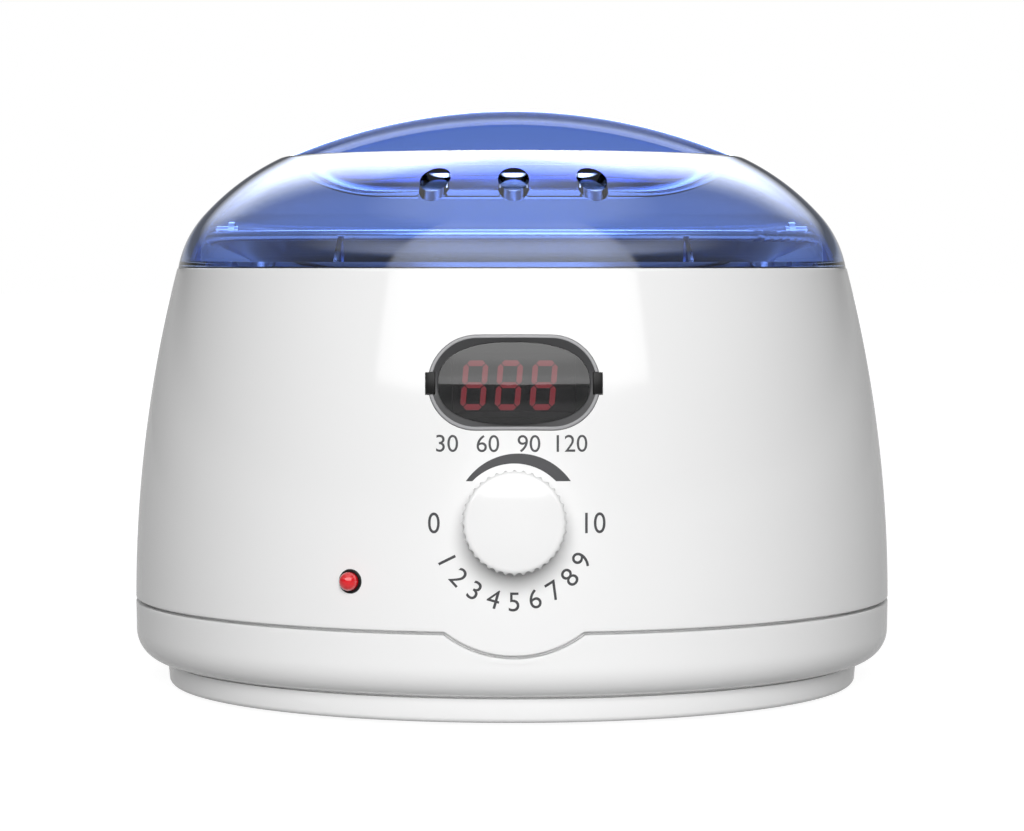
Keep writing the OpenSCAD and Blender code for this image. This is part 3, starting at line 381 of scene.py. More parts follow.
looks = {
    "whiteGloss": moulded("whiteGloss", (0.86, 0.86, 0.86), 0.07, ripple=0.015, IOR=1.5),
    "clearBlue": clear("clearBlue", (0.43, 0.58, 1.0), IOR=1.49),
    "rimGrey": moulded("rimGrey", (0.33, 0.33, 0.34), 0.22),
    "bandGrey": moulded("bandGrey", (0.045, 0.045, 0.047), 0.35),
    "smokedLens": clear("smokedLens", (0.16, 0.16, 0.165), IOR=1.5),
    "blackPlastic": moulded("blackPlastic", (0.008, 0.008, 0.008), 0.32, Specular_IOR_Level=0.2),
    "redBar": moulded("redBar", (0.50, 0.03, 0.045), 0.4, Emission_Color=(1, 0.11, 0.15, 1),
                      Emission_Strength=1.05),
    "lampRed": moulded("lampRed", (0.72, 0.004, 0.012), 0.06, Coat_Weight=0.6, Subsurface_Weight=0.15,
                       Subsurface_Radius=(0.002, 0.0004, 0.0004)),
    "ink": moulded("ink", (0.052, 0.052, 0.055), 0.45, size=1500.0, ripple=0.1),
    "potMetal": turned("potMetal", (0.80, 0.80, 0.81), 0.24, change=0.08, depth=0.05),
    "cupMetal": turned("cupMetal", (0.70, 0.70, 0.71), 0.3, rings=1800.0),
    "wire": moulded("wire", (0.75, 0.75, 0.77), 0.12, Metallic=1.0),
    "screwSteel": turned("screwSteel", (0.55, 0.55, 0.57), 0.25, rings=5000.0),
    "sheetSteel": moulded("sheetSteel", (0.56, 0.57, 0.58), 0.35, change=0.2, size=900.0, ripple=0.1,
                          Metallic=1.0),
    "footRubber": moulded("footRubber", (0.03, 0.03, 0.03), 0.75, size=1500.0, ripple=0.5),
    "sealRed": moulded("sealRed", (0.36, 0.06, 0.04), 0.5, size=1200.0, ripple=0.3),
    "mica": moulded("mica", (0.50, 0.42, 0.27), 0.45, cloud=0.5, size=900.0, ripple=0.3),
    "casePlastic": moulded("casePlastic", (0.72, 0.71, 0.66), 0.4, size=1200.0, ripple=0.15),
    "brass": turned("brass", (0.78, 0.56, 0.26), 0.22, rings=5000.0),
    "copper": moulded("copper", (0.72, 0.38, 0.24), 0.25, cloud=0.3, Metallic=1.0),
    "boardGreen": moulded("boardGreen", (0.02, 0.12, 0.05), 0.3, size=1500.0, ripple=0.2),
    "leadRed": moulded("leadRed", (0.5, 0.05, 0.03), 0.45, size=1500.0, ripple=0.2),
}
print("materials made")

# Upper housing
housing = {"seatWidth": 3.4, "deckZ": 98.5, "wellRadius": 64.5, "apron": 4, "apronWidth": 2,
           "edgeRound": 0.35, "seatRound": 0.4, "mouthRound": 0.3, "outerRows": 30, "innerRows": 10,
           "rowMargin": 1.2, "dipInside": 80, "frontTurn": 28, "frontSteps": 224, "restSteps": 332}
tongue = {"radius": 26, "drop": 5.2, "housingFade": 40, "baseFade": 15, "fadeMargin": 1}
turnParts = ((-housing["frontTurn"], housing["frontTurn"], housing["frontSteps"]),
             (housing["frontTurn"], 360 - housing["frontTurn"], housing["restSteps"]))


# How far an edge dips below the parting line at x, for an edge that lies gap above or below it
def tongueDip(x, gap):
    radius = tongue["radius"] - gap
    centreZ = partingZ - tongue["drop"] + tongue["radius"]
    if abs(x) >= radius:
        return 0
    return min(0, centreZ - math.sqrt(radius ** 2 - x * x) - partingZ - gap)


# Bends the front of a shell's edge down into the tongue, less and less towards the height fadeZ
def dipFront(bm, gap, fadeZ, innerRadius):
    edgeZ = partingZ + gap
    span = abs(fadeZ - edgeZ) - tongue["fadeMargin"]
    for v in bm.verts:
        z, radius = v.co.z / mm, math.hypot(v.co.x, v.co.y) / mm
        if v.co.y > 0 or radius < innerRadius or (z - fadeZ) * (edgeZ - fadeZ) <= 0:
            continue
        newZ = z + min(1, abs(fadeZ - z) / span) * tongueDip(v.co.x / mm, gap)
        grow = 1 + (wallRadius(newZ) - wallRadius(z)) / radius if gap > 0 else 1
        v.co = Vector((v.co.x * grow, v.co.y * grow, newZ * mm))


lowZ = partingZ + body["seam"] / 2
firstRow = lowZ + housing["rowMargin"]
seatR = wallRadius(seatZ)
openingR = seatR - housing["seatWidth"]
wellR, apronR = housing["wellRadius"], housing["wellRadius"] + housing["apronWidth"]
deckZ, innerTop = housing["deckZ"], housing["deckZ"] - wall
apronZ = innerTop - housing["apron"]
outline = [(wallRadius(lowZ) - wall, lowZ), (wallRadius(lowZ), lowZ, housing["edgeRound"])]
outline += [(wallRadius(z), z) for z in spread(firstRow, seatZ - housing["rowMargin"], housing["outerRows"])]
outline += [(seatR, seatZ, housing["seatRound"]), (openingR, seatZ, housing["mouthRound"]), (openingR, deckZ),
            (wellR, deckZ), (wellR, apronZ), (apronR, apronZ), (apronR, innerTop)]
outline += [(wallRadius(z) - wall, z) for z in reversed(spread(firstRow, innerTop, housing["innerRows"]))]
bm = spinOutline(softCorners(outline), turnParts)
dipFront(bm, body["seam"] / 2, tongue["housingFade"], housing["dipInside"])
housingSkin = newObject("housingSkin", onAxis(bm))

display = {"z": 77.7, "width": 38.3, "height": 21.4, "windowWidth": 33.8, "windowHeight": 18.4,
           "windowUp": -0.15, "clipWidth": 2.1, "clipHeight": 4.9, "clipX": 18.65, "fitGap": 0.2,
           "cutDepth": 9, "clipCutDepth": 12}
knobPlace = {"z": 46.7, "recess": 18, "recessDepth": 0.6, "bore": 9.4, "cutDepth": 20}
lampPlace = {"turn": -23.2, "z": 33.1, "holeRadius": 2.75, "cutDepth": 20}
bushPlace = {"z": 36, "width": 11, "height": 21, "up": -5, "cutDepth": 9, "cutOut": 15}
displayMatrix = onWall(0, display["z"])
knobMatrix = onWall(0, knobPlace["z"])
lampMatrix = onWall(lampPlace["turn"], lampPlace["z"])
bushMatrix = onWall(180, bushPlace["z"])


def clipCutters():
    width, height = display["clipWidth"] + display["fitGap"], display["clipHeight"] + display["fitGap"]
    return [cutter(rectangle(width, height, side * display["clipX"]), displayMatrix, display["clipCutDepth"])
            for side in (-1, 1)]


displayHole = stadium(display["width"] + display["fitGap"], display["height"] + display["fitGap"])
bushHole = rectangle(bushPlace["width"], bushPlace["height"], 0, bushPlace["up"])
combine(housingSkin, [
    cutter(displayHole, displayMatrix, display["cutDepth"]),
    cutter(circle(knobPlace["bore"] / 2), knobMatrix, knobPlace["cutDepth"]),
    cutter(circle(knobPlace["recess"] / 2), knobMatrix, knobPlace["recessDepth"]),
    cutter(circle(lampPlace["holeRadius"]), lampMatrix, lampPlace["cutDepth"]),
    cutter(bushHole, bushMatrix, bushPlace["cutDepth"], bushPlace["cutOut"])] + clipCutters())
dress(housingSkin, looks["whiteGloss"], "base", "white_gloss", "upper_housing")
print("housing made")

# Base shell
base = {"edgeZ": 7.2, "sideRadius": 92.88, "round": 7.5, "roundSink": 0.1, "roundEnd": -80, "holeRadius": 72,
        "lipRadius": 90.25, "lipWidth": 1.4, "lipTop": 25, "edgeRound": 0.35, "draft": 0.12,
        "sideRows": (20.4, 19, 17.5, 16), "innerRound": 4, "lipMargin": 0.05}
topZ = partingZ - body["seam"] / 2
roundR, roundX = base["round"], base["sideRadius"] - base["round"]
roundZ = base["edgeZ"] + roundR - base["roundSink"]
lipR, innerR = base["lipRadius"], base["lipRadius"] - base["lipWidth"]
floorZ = base["edgeZ"] + wall
outline = [(lipR, base["lipTop"]), (lipR, topZ),
           (body["sideCentre"] + body["sideRadius"], topZ, base["edgeRound"])]
outline += [(base["sideRadius"] + base["draft"] * (z - roundZ) / (topZ - roundZ), z)
            for z in base["sideRows"]]
outline += arc(roundX, roundZ, roundR, 0, base["roundEnd"], steps=16)
outline += [(roundX, base["edgeZ"]), (base["holeRadius"], base["edgeZ"]), (base["holeRadius"], floorZ)]
innerRound = base["innerRound"]
outline += arc(innerR - innerRound, floorZ + innerRound, innerRound, -90, 0, steps=6)
outline += [(innerR, base["lipTop"])]
bm = spinOutline(softCorners(outline), turnParts)
dipFront(bm, -body["seam"] / 2, tongue["baseFade"], lipR - base["lipMargin"])
baseSkin = newObject("baseSkin", onAxis(bm))
dress(baseSkin, looks["whiteGloss"], "base", "white_gloss", "base_shell")
print("base made")

# Lid
lid = {"wall": 2.2, "rimInset": 0.2, "rimDeg": 80, "edgeRadius": 26, "shoulderRadius": 60.7,
       "shoulderDeg": 48, "lipX": 55.5, "lipRadius": 5, "floorRadius": 33, "floorHeight": 20.6,
       "finRadius": 137, "finWidth": 13, "finRound": 4.5, "finRoof": 1.1, "finRise": 0.2, "finReach": 0.32,
       "finRoot": 25, "pipRadius": 2.5, "pipRise": 1.7,
       "ventDiameter": 7.1, "ventCircle": 136, "ventStep": 15.2, "ventFoot": 5, "ventTop": 40,
       "ringDrop": 3.4, "ringWidth": 1.8, "ringGap": 0.6, "ringBevel": 0.4, "ledge": 1.2, "cutLow": -6,
       "ribCount": 6, "ribWidth": 1.4, "ribRows": (1, 3, 5, 7), "ribTop": 9}


def upDir(turn):
    return Vector((math.sin(math.radians(turn)), math.cos(math.radians(turn))))


# In the lid's section, X is the radius and Y the height over the seat
lipX, lipRound, floorHeight = lid["lipX"], lid["lipRadius"], lid["floorHeight"]
rimR = seatR - lid["rimInset"]
edgeC = Vector((rimR, 0)) - lid["edgeRadius"] * upDir(lid["rimDeg"])
shoulderC = edgeC + (lid["edgeRadius"] - lid["shoulderRadius"]) * upDir(lid["shoulderDeg"])
lipUp = math.sqrt((lid["shoulderRadius"] - lipRound) ** 2 - (lipX - shoulderC.x) ** 2)
lipC = Vector((lipX, shoulderC.y + lipUp))
lipRise = lipC.y - floorHeight
bowlR = ((lipX - lid["floorRadius"]) ** 2 + lipRise ** 2 - lipRound ** 2) / (2 * (lipRound + lipRise))
bowlC = Vector((lid["floorRadius"], floorHeight + bowlR))
lipIn = math.degrees(math.atan2(bowlC.x - lipC.x, bowlC.y - lipC.y))
lipOut = math.degrees(math.atan2(lipC.x - shoulderC.x, lipC.y - shoulderC.y))
finCentreZ = lipC.y + lipRound + lid["finRise"] - math.sqrt(lid["finRadius"] ** 2 - lipX ** 2)
finEnd = math.degrees(math.asin((lipX + lid["finReach"] * lipRound) / lid["finRadius"]))


# Outline of the dome, drawn in by inset and cut at low above the seat
def domeOutline(inset, low):
    end = math.degrees(math.acos((low - edgeC.y) / (lid["edgeRadius"] - inset)))
    points = [(0, low), (0, floorHeight - inset)]
    points += upArc(bowlC, bowlR + inset, 180, 180 + lipIn, steps=14)
    points += upArc(lipC, lipRound - inset, lipIn, lipOut, steps=14)
    points += upArc(shoulderC, lid["shoulderRadius"] - inset, lipOut, lid["shoulderDeg"], steps=20)[1:]
    points += upArc(edgeC, lid["edgeRadius"] - inset, lid["shoulderDeg"], end, steps=20)[1:]
    return points


def edgeReach(z, inset):
    return edgeC.x + math.sqrt((lid["edgeRadius"] - inset) ** 2 - (z - edgeC.y) ** 2)


def lidSpin(points):
    return spinOutline([(x, z + seatZ) for x, z in points])


# The fin's section stands on its root and is swept along an arc over the dish
def finSolid(inset, roof):
    half, radius, corner = lid["finWidth"] / 2 - inset, lid["finRadius"] - roof, lid["finRound"] - roof
    root = lid["finRadius"] - lid["finRoot"]
    section = [(root, -half)] + arc(radius - corner, -half + corner, corner, -90, 0, steps=10)
    section += arc(radius - corner, half - corner, corner, 0, 90, steps=10) + [(root, half)]
    bm = bmesh.new()
    bm.faces.new([bm.verts.new((0, y * mm, r * mm)) for r, y in section])
    start = Matrix.Rotation(math.radians(-finEnd), 3, "Y")
    bmesh.ops.rotate(bm, cent=(0, 0, 0), matrix=start, verts=bm.verts)
    bmesh.ops.spin(bm, geom=bm.verts[:] + bm.edges[:] + bm.faces[:], cent=(0, 0, 0), axis=(0, 1, 0),
                   angle=math.radians(2 * finEnd), steps=90)
    bmesh.ops.remove_doubles(bm, verts=bm.verts, dist=mergeGap)
    bmesh.ops.recalc_face_normals(bm, faces=bm.faces)
    return moved(bm, Matrix.Translation((0, 0, (finCentreZ + seatZ) * mm)))


# The locating ring hangs from a ledge inside the rim
ringR = openingR - lid["ringGap"]
ringIn = ringR - lid["ringWidth"]
ringLow, ringBevel = -lid["ringDrop"], lid["ringBevel"]
ringFoot = [(ringR, 0), (ringR, ringLow + ringBevel), (ringR - ringBevel, ringLow), (0, ringLow)]
hollow = [(0, lid["cutLow"])] + domeOutline(lid["wall"], lid["ledge"])[1:]
hollow += [(ringIn, lid["ledge"]), (ringIn, lid["cutLow"])]
lidSkin = newObject("lidSkin", lidSpin(domeOutline(0, 0)[1:] + ringFoot))
combine(lidSkin, [finSolid(0, 0)], "UNION")
combine(lidSkin, [lidSpin(hollow), finSolid(lid["wall"], lid["finRoof"])])

ribFoot, ribRows = ringR - lid["ringWidth"] / 2, lid["ribRows"]
ribOutline = [(ribFoot, ribRows[0])] + [(edgeReach(z, lid["wall"] / 2), z) for z in ribRows]
ribOutline += [(ribFoot, lid["ribTop"])]
ribs = []
for k in range(lid["ribCount"]):
    rib = prism(ribOutline, -lid["ribWidth"] / 2, lid["ribWidth"] / 2)
    place = Matrix.Rotation(math.radians(360 / lid["ribCount"] * k), 4, "Z")
    place = place @ Matrix.Translation((0, 0, seatZ * mm)) @ Matrix.Rotation(math.radians(90), 4, "X")
    ribs.append(moved(rib, place @ Matrix.Scale(mm, 4)))
combine(lidSkin, ribs, "UNION")

vents = []
for k in (-1, 0, 1):
    place = Matrix.Rotation(math.radians(k * lid["ventStep"]), 4, "Z")
    place = place @ Matrix.Translation((0, -lid["ventCircle"] / 2 * mm, (seatZ + lid["ventFoot"]) * mm))
    vent = prism(circle(lid["ventDiameter"] / 2), 0, lid["ventTop"])
    vents.append(moved(vent, place @ Matrix.Scale(mm, 4)))
pip = bmesh.new()
bmesh.ops.create_uvsphere(pip, u_segments=32, v_segments=16, radius=lid["pipRadius"] * mm)
moved(pip, Matrix.Translation((0, 0, (seatZ + finCentreZ + lid["finRadius"] + lid["pipRise"]) * mm)))
combine(lidSkin, vents + [pip])

bm = bmesh.new()
bm.from_mesh(lidSkin.data)
onAxis(bm)
bm.to_mesh(lidSkin.data)
bm.free()
dress(lidSkin, looks["clearBlue"], "lid", "clear_lid", "lid")
print("lid made")

# Knob
knob = {"radius": 11.5, "height": 12.5, "clear": 0.5, "edge": 1.6, "edgeStart": 76, "dome": 0.9,
        "sideRows": (7.5, 5, 2), "footTaper": 0.3, "wall": 2.4, "roofZ": 8.9,
        "scallops": 36, "stepsPerScallop": 12, "notchOut": 0.35, "notchRadius": 0.85, "notchDepth": 1.2,
        "hub": 5, "bore": 3.05, "boreTop": 10.6, "hubZ": 4.2}
knobR, clearZ = knob["radius"], knob["clear"]
faceR = knobR - knob["edge"]
domeR = (faceR ** 2 + knob["dome"] ** 2) / (2 * knob["dome"])
knobTop = clearZ + knob["height"]
domeEnd = math.degrees(math.asin(faceR / domeR))
outline = arc(0, knobTop - domeR, domeR, 90, 90 - domeEnd, steps=10)
outline += arc(faceR, knobTop - knob["dome"] - knob["edge"], knob["edge"], knob["edgeStart"], 0, steps=8)
outline += [(knobR, z) for z in knob["sideRows"]]
outline += [(knobR - knob["footTaper"], clearZ), (knobR - knob["wall"], clearZ),
            (knobR - knob["wall"], knob["roofZ"]), (knob["hub"], knob["roofZ"]), (knob["hub"], knob["hubZ"]),
            (knob["bore"], knob["hubZ"]), (knob["bore"], knob["boreTop"]), (0, knob["boreTop"])]
bm = spinOutline(outline, ((0, 360, knob["scallops"] * knob["stepsPerScallop"]),))
step = 2 * math.pi / knob["scallops"]
notchR = knobR + knob["notchOut"]
for v in bm.verts:
    radius = math.hypot(v.co.x, v.co.y) / mm
    turn = math.atan2(v.co.x, v.co.y)
    off = abs((turn / step) % 1 - 0.5) * step
    across = knob["notchRadius"] ** 2 - (notchR * math.sin(off)) ** 2
    if radius < knobR - knob["notchDepth"] or across <= 0:
        continue
    limitR = notchR * math.cos(off) - math.sqrt(across)
    if radius > limitR:
        v.co = Vector((v.co.x * limitR / radius, v.co.y * limitR / radius, v.co.z))
knobCap = newObject("knobCap", stoodOnWall(bm, knobMatrix))
dress(knobCap, looks["whiteGloss"], "knob", "white_gloss", "knob", limit=50)
print("knob made")

# Display

def wallDepth(x, y, z0):
    spot = onWall(0, z0) @ Vector((x, y, 0))
    radius = wallRadius(spot.z / mm)
    return (math.sqrt(max(0, radius ** 2 - x * x)) + (spot.y - axisY) / mm) / math.cos(wallTilt(z0))


# Bends what lies above a depth to follow the housing's round wall
def bendToWall(bm, z0, above=-2.5):
    for v in bm.verts:
        if v.co.z > above:
            v.co.z += wallDepth(v.co.x, v.co.y, z0)
    return bm


# Skin through outlines of equal length: a closed band, or a solid with both ends filled
def ringStack(loops, filled=False):
    bm = bmesh.new()
    rings = [[bm.verts.new(point) for point in points] for points in loops]
    for lower, upper in zip(rings, rings[1:] + ([] if filled else rings[:1])):
        for k in range(len(lower)):
            bm.faces.new((lower[k - 1], lower[k], upper[k], upper[k - 1]))
    if filled:
        bm.faces.new(rings[0])
        bm.faces.new(rings[-1])
    return outward(bm)


rim = {"width": 0.75, "depth": 6, "top": 0.5, "outerBevel": 0.2, "innerBevel": 0.15,
       "bandMargin": 0.05, "bandTop": -0.1, "bandGrow": 0.5, "bandFoot": -0.35}
rimW, w, h = rim["width"], display["width"], display["height"]
windowW, windowH, windowY = display["windowWidth"], display["windowHeight"], display["windowUp"]
innerEdge = stadium(w - 2 * rimW, h - 2 * rimW)


# Oval with flattened sides, its points on the same rays as the rim's inner edge
def softOval(width, height, power=2.5):
    points = []
    for x, y in innerEdge:
        reach = (abs(x / width * 2) ** power + abs(y / height * 2) ** power) ** (-1 / power)
        points.append((x * reach, y * reach))
    return points


def rimLoop(inset, z):
    return [(x, y, z) for x, y in stadium(w - 2 * inset, h - 2 * inset)]


def windowLoop(grow, z):
    return [(x, y + windowY, z) for x, y in softOval(windowW + grow, windowH + grow)]


top, outerBevel, innerBevel = rim["top"], rim["outerBevel"], rim["innerBevel"]
rimLoops = [windowLoop(0, -rim["depth"]), rimLoop(0, -rim["depth"]), rimLoop(0, top - outerBevel),
            rimLoop(outerBevel, top), rimLoop(rimW - innerBevel, top), rimLoop(rimW, top - innerBevel),
            windowLoop(rim["bandGrow"], rim["bandTop"]), windowLoop(0, rim["bandFoot"])]
bm = bendToWall(ringStack(rimLoops), display["z"])
for face in bm.faces:
    middle = face.calc_center_median()
    reach = max(abs(middle.x) - (w - h) / 2, 0)
    inBand = math.hypot(reach, middle.y) < h / 2 - rimW + rim["bandMargin"]
    face.material_index = 1 if inBand else 0
displayRim = newObject("displayRim", moved(bm, displayMatrix))
displayRim.data.materials.append(looks["rimGrey"])
displayRim.data.materials.append(looks["bandGrey"])
combine(displayRim, clipCutters())
shade(displayRim.data, sharpAngle)
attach(displayRim, "base")
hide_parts("display_bezel")
print("display rim made")

lens = {"gap": 0.05, "rings": 14, "middle": 0.01, "back": -0.5, "edge": -0.15, "crown": 0.9,
        "crownStretch": 3.2, "crownSpan": 85}
lensEdge = softOval(windowW - lens["gap"], windowH - lens["gap"])
shrinks = [1 - k / lens["rings"] for k in range(lens["rings"])] + [lens["middle"]]


# Outline of the lens, shrunk towards its middle, where the crown is highest
def lensLoop(shrink, low, crown):
    points = [(x * shrink, y * shrink) for x, y in lensEdge]
    drops = [(x * x / lens["crownStretch"] + y * y) / lens["crownSpan"] * crown for x, y in points]
    return [(x, y + windowY, low + crown - drop) for (x, y), drop in zip(points, drops)]


lensLoops = [lensLoop(shrink, lens["back"], 0) for shrink in shrinks[::-1]]
lensLoops += [lensLoop(shrink, lens["edge"], lens["crown"]) for shrink in shrinks]
bm = bendToWall(ringStack(lensLoops, True), display["z"])
displayLens = newObject("displayLens", moved(bm, displayMatrix))
dress(displayLens, looks["smokedLens"], "base", "smoked_lens", "display_lens", limit=60)

clip = {"depth": 8, "top": 0.95, "bevel": 0.2}
for side, label in ((-1, "Left"), (1, "Right")):
    outline = rectangle(display["clipWidth"], display["clipHeight"], side * display["clipX"])
    bm = bendToWall(prism(outline, -clip["depth"], clip["top"]), display["z"])
    bmesh.ops.bevel(bm, geom=bm.edges[:], offset=clip["bevel"], segments=2, affect="EDGES", profile=0.5,
                    material=-1)
    displayClip = newObject(f"displayClip{label}", moved(bm, displayMatrix))
    dress(displayClip, looks["blackPlastic"], "base", "black_plastic", f"display_clip_{label.lower()}")
print("display made")

# Lamp
lamp = {"radius": 2.1, "domeZ": 1.0, "flangeRadius": 2.9, "flangeZ": -6.5, "backZ": -7.5, "ringIn": 2.12,
        "ringOut": 2.7, "ringTop": 0.45, "ringRounds": (0.1, 0.2), "nutRadius": 4.4, "nutTop": -2.7,
        "nutLow": -6.4, "steps": 64}
lampTurn = ((0, 360, lamp["steps"]),)
outline = [(0, lamp["domeZ"] + lamp["radius"])] + arc(0, lamp["domeZ"], lamp["radius"], 80, 0, steps=14)
outline += [(lamp["radius"], lamp["flangeZ"]), (lamp["flangeRadius"], lamp["flangeZ"]),
            (lamp["flangeRadius"], lamp["backZ"]), (0, lamp["backZ"])]
lampDome = newObject("lampDome", stoodOnWall(spinOutline(outline, lampTurn), lampMatrix))
dress(lampDome, looks["lampRed"], "base", "lamp_red", "indicator_lamp")
innerRound, outerRound = lamp["ringRounds"]
outline = [(lamp["ringIn"], lamp["ringTop"], innerRound), (lamp["ringIn"], lamp["nutLow"]),
           (lamp["nutRadius"], lamp["nutLow"]), (lamp["nutRadius"], lamp["nutTop"]),
           (lamp["ringOut"], lamp["nutTop"]), (lamp["ringOut"], lamp["ringTop"], outerRound)]
lampRing = newObject("lampRing", stoodOnWall(spinOutline(softCorners(outline), lampTurn), lampMatrix))
dress(lampRing, looks["blackPlastic"], "base", "black_plastic", "lamp_holder")
print("lamp made")

# Print on the housing
marks = {"lift": 0.03, "sink": 0.05, "scaleNumbers": ("30", "60", "90", "120"),
         "scaleX": (-14.97, -5.85, 3.27, 12.38), "scaleZ": 62.3, "scaleSize": 5.4,
         "offX": -17.8, "fullX": 17.5, "endZ": 44.3, "endSize": 6.6, "endSqueeze": 0.9,
         "arcCentreZ": 45.9, "arcRadius": 18.75, "arcSize": 6.1, "arcStep": 15.8, "arcCount": 9,
         "wedgeOuter": (0.93, 47.87, 14.1), "wedgeInner": (0, 46.86, 12.9), "wedgeZ": 55.83,
         "curveSteps": 6, "mergeGap": 1e-4, "slicesX": (-26, 27), "slicesZ": (22, 68, 2)}


def glyphMesh(text, size, squeeze=1.0):
    curve = bpy.data.curves.new("glyph", "FONT")
    curve.body = text
    curve.size = size
    curve.align_x = "CENTER"
    curve.resolution_u = marks["curveSteps"]
    holder = bpy.data.objects.new("glyph", curve)
    scene.collection.objects.link(holder)
    bpy.context.view_layer.update()
    mesh = bpy.data.meshes.new_from_object(holder.evaluated_get(bpy.context.evaluated_depsgraph_get()))
    bm = bmesh.new()
    bm.from_mesh(mesh)
    bpy.data.objects.remove(holder)
    bpy.data.curves.remove(curve)
    bpy.data.meshes.remove(mesh)
    bmesh.ops.remove_doubles(bm, verts=bm.verts, dist=marks["mergeGap"])
    return moved(bm, Matrix.Diagonal((squeeze, 1, 1, 1)))


def sliced(bm, places, across):
    for k in range(*places):
        bmesh.ops.bisect_plane(bm, geom=bm.verts[:] + bm.edges[:] + bm.faces[:], plane_co=k * across,
                               plane_no=across)


# Flat shapes, X and Z in millimetres, are laid on the front of the wall as a thin film of ink
def layInk(name, flatShapes):
    bm = bmesh.new()
    for flat in flatShapes:
        mesh = bpy.data.meshes.new("flat")
        flat.to_mesh(mesh)
        flat.free()
        bm.from_mesh(mesh)
        bpy.data.meshes.remove(mesh)
    sliced(bm, marks["slicesX"], Vector((1, 0, 0)))
    sliced(bm, marks["slicesZ"], Vector((0, 1, 0)))
    grown = bmesh.ops.extrude_face_region(bm, geom=bm.faces[:])["geom"]
    front = {g for g in grown if isinstance(g, bmesh.types.BMVert)}
    for v in bm.verts:
        x, z = v.co.x, v.co.y
        out = wallRadius(z) + (marks["lift"] if v in front else -marks["sink"])
        v.co = Vector((x * mm, axisY - math.sqrt(out ** 2 - x * x) * mm, z * mm))
    bmesh.ops.recalc_face_normals(bm, faces=bm.faces)
    dress(newObject(name, bm), looks["ink"], "base", "black_plastic")


def at(bm, x, z, turn=0):
    return moved(bm, Matrix.Translation((x, z, 0)) @ Matrix.Rotation(math.radians(turn), 4, "Z"))


layInk("scaleNumbers", [at(glyphMesh(text, marks["scaleSize"]), x, marks["scaleZ"])
                        for text, x in zip(marks["scaleNumbers"], marks["scaleX"])])
dialShapes = [at(glyphMesh(text, marks["endSize"], marks["endSqueeze"]), x, marks["endZ"])
              for text, x in (("0", marks["offX"]), ("10", marks["fullX"]))]
for k in range(marks["arcCount"]):
    turn = (k - (marks["arcCount"] - 1) / 2) * marks["arcStep"]
    spot = Vector((math.sin(math.radians(turn)), -math.cos(math.radians(turn)))) * marks["arcRadius"]
    dialShapes.append(at(glyphMesh(str(k + 1), marks["arcSize"]), spot.x, marks["arcCentreZ"] + spot.y, turn))
layInk("dialNumbers", dialShapes)


def wedgeArc(x, z, radius):
    low = math.degrees(math.asin((marks["wedgeZ"] - z) / radius))
    return arc(x, z, radius, low, 180 - low, steps=40)


flat = bmesh.new()
wedge = wedgeArc(*marks["wedgeOuter"]) + wedgeArc(*marks["wedgeInner"])[::-1]
flat.faces.new([flat.verts.new((x, z, 0)) for x, z in wedge])
bmesh.ops.triangulate(flat, faces=flat.faces)
layInk("heatWedge", [flat])
print("print made")

# Pieces that keep the CAD node's shape: the name, the look and any angle for sharp edges
carriedOver = {
    "inner_pot": ("potShell", "potMetal"), "pot_handle": ("potBail", "wire", 40),
    "heating_cup": ("cupShell", "cupMetal"), "cup_seal": ("cupSeal", "sealRed"),
    "bottom_cover": ("bottomCover", "whiteGloss"), "cup_screws": ("cupScrews", "screwSteel"),
    "digit_segments": ("digitBars", "redBar"), "digit_block": ("digitBlock", "blackPlastic"),
    "cord_bush": ("cordBush", "blackPlastic"), "cover_screws": ("coverScrews", "screwSteel")}
for end in ("Front", "Rear"):
    for side in ("Left", "Right"):
        carriedOver[f"foot_{end.lower()}_{side.lower()}"] = (f"foot{end}{side}", "footRubber")
for nodeName, (name, look, *limit) in carriedOver.items():
    mergedCopy(nodeName, name, looks[look], *limit)

# Pieces inside stay the CAD node's own mesh
innerLooks = {
    "housing_screws": "screwSteel", "heater_band": "mica", "band_screw": "screwSteel",
    "heat_shield": "sheetSteel", "shield_screws": "screwSteel", "thermostat_body": "casePlastic",
    "thermostat_nut": "brass", "thermostat_shaft": "wire", "sensing_bulb": "copper",
    "bulb_clip": "sheetSteel", "capillary_tube": "copper", "thermal_fuse": "casePlastic",
    "fuse_clip": "sheetSteel", "display_board": "boardGreen", "board_screws": "screwSteel",
    "terminal_block": "casePlastic", "inner_leads": "leadRed"}
for nodeName, look in innerLooks.items():
    obj = frame["nodes"][nodeName]
    obj.data.materials.clear()
    obj.data.materials.append(looks[look])
print("carried-over pieces finished")

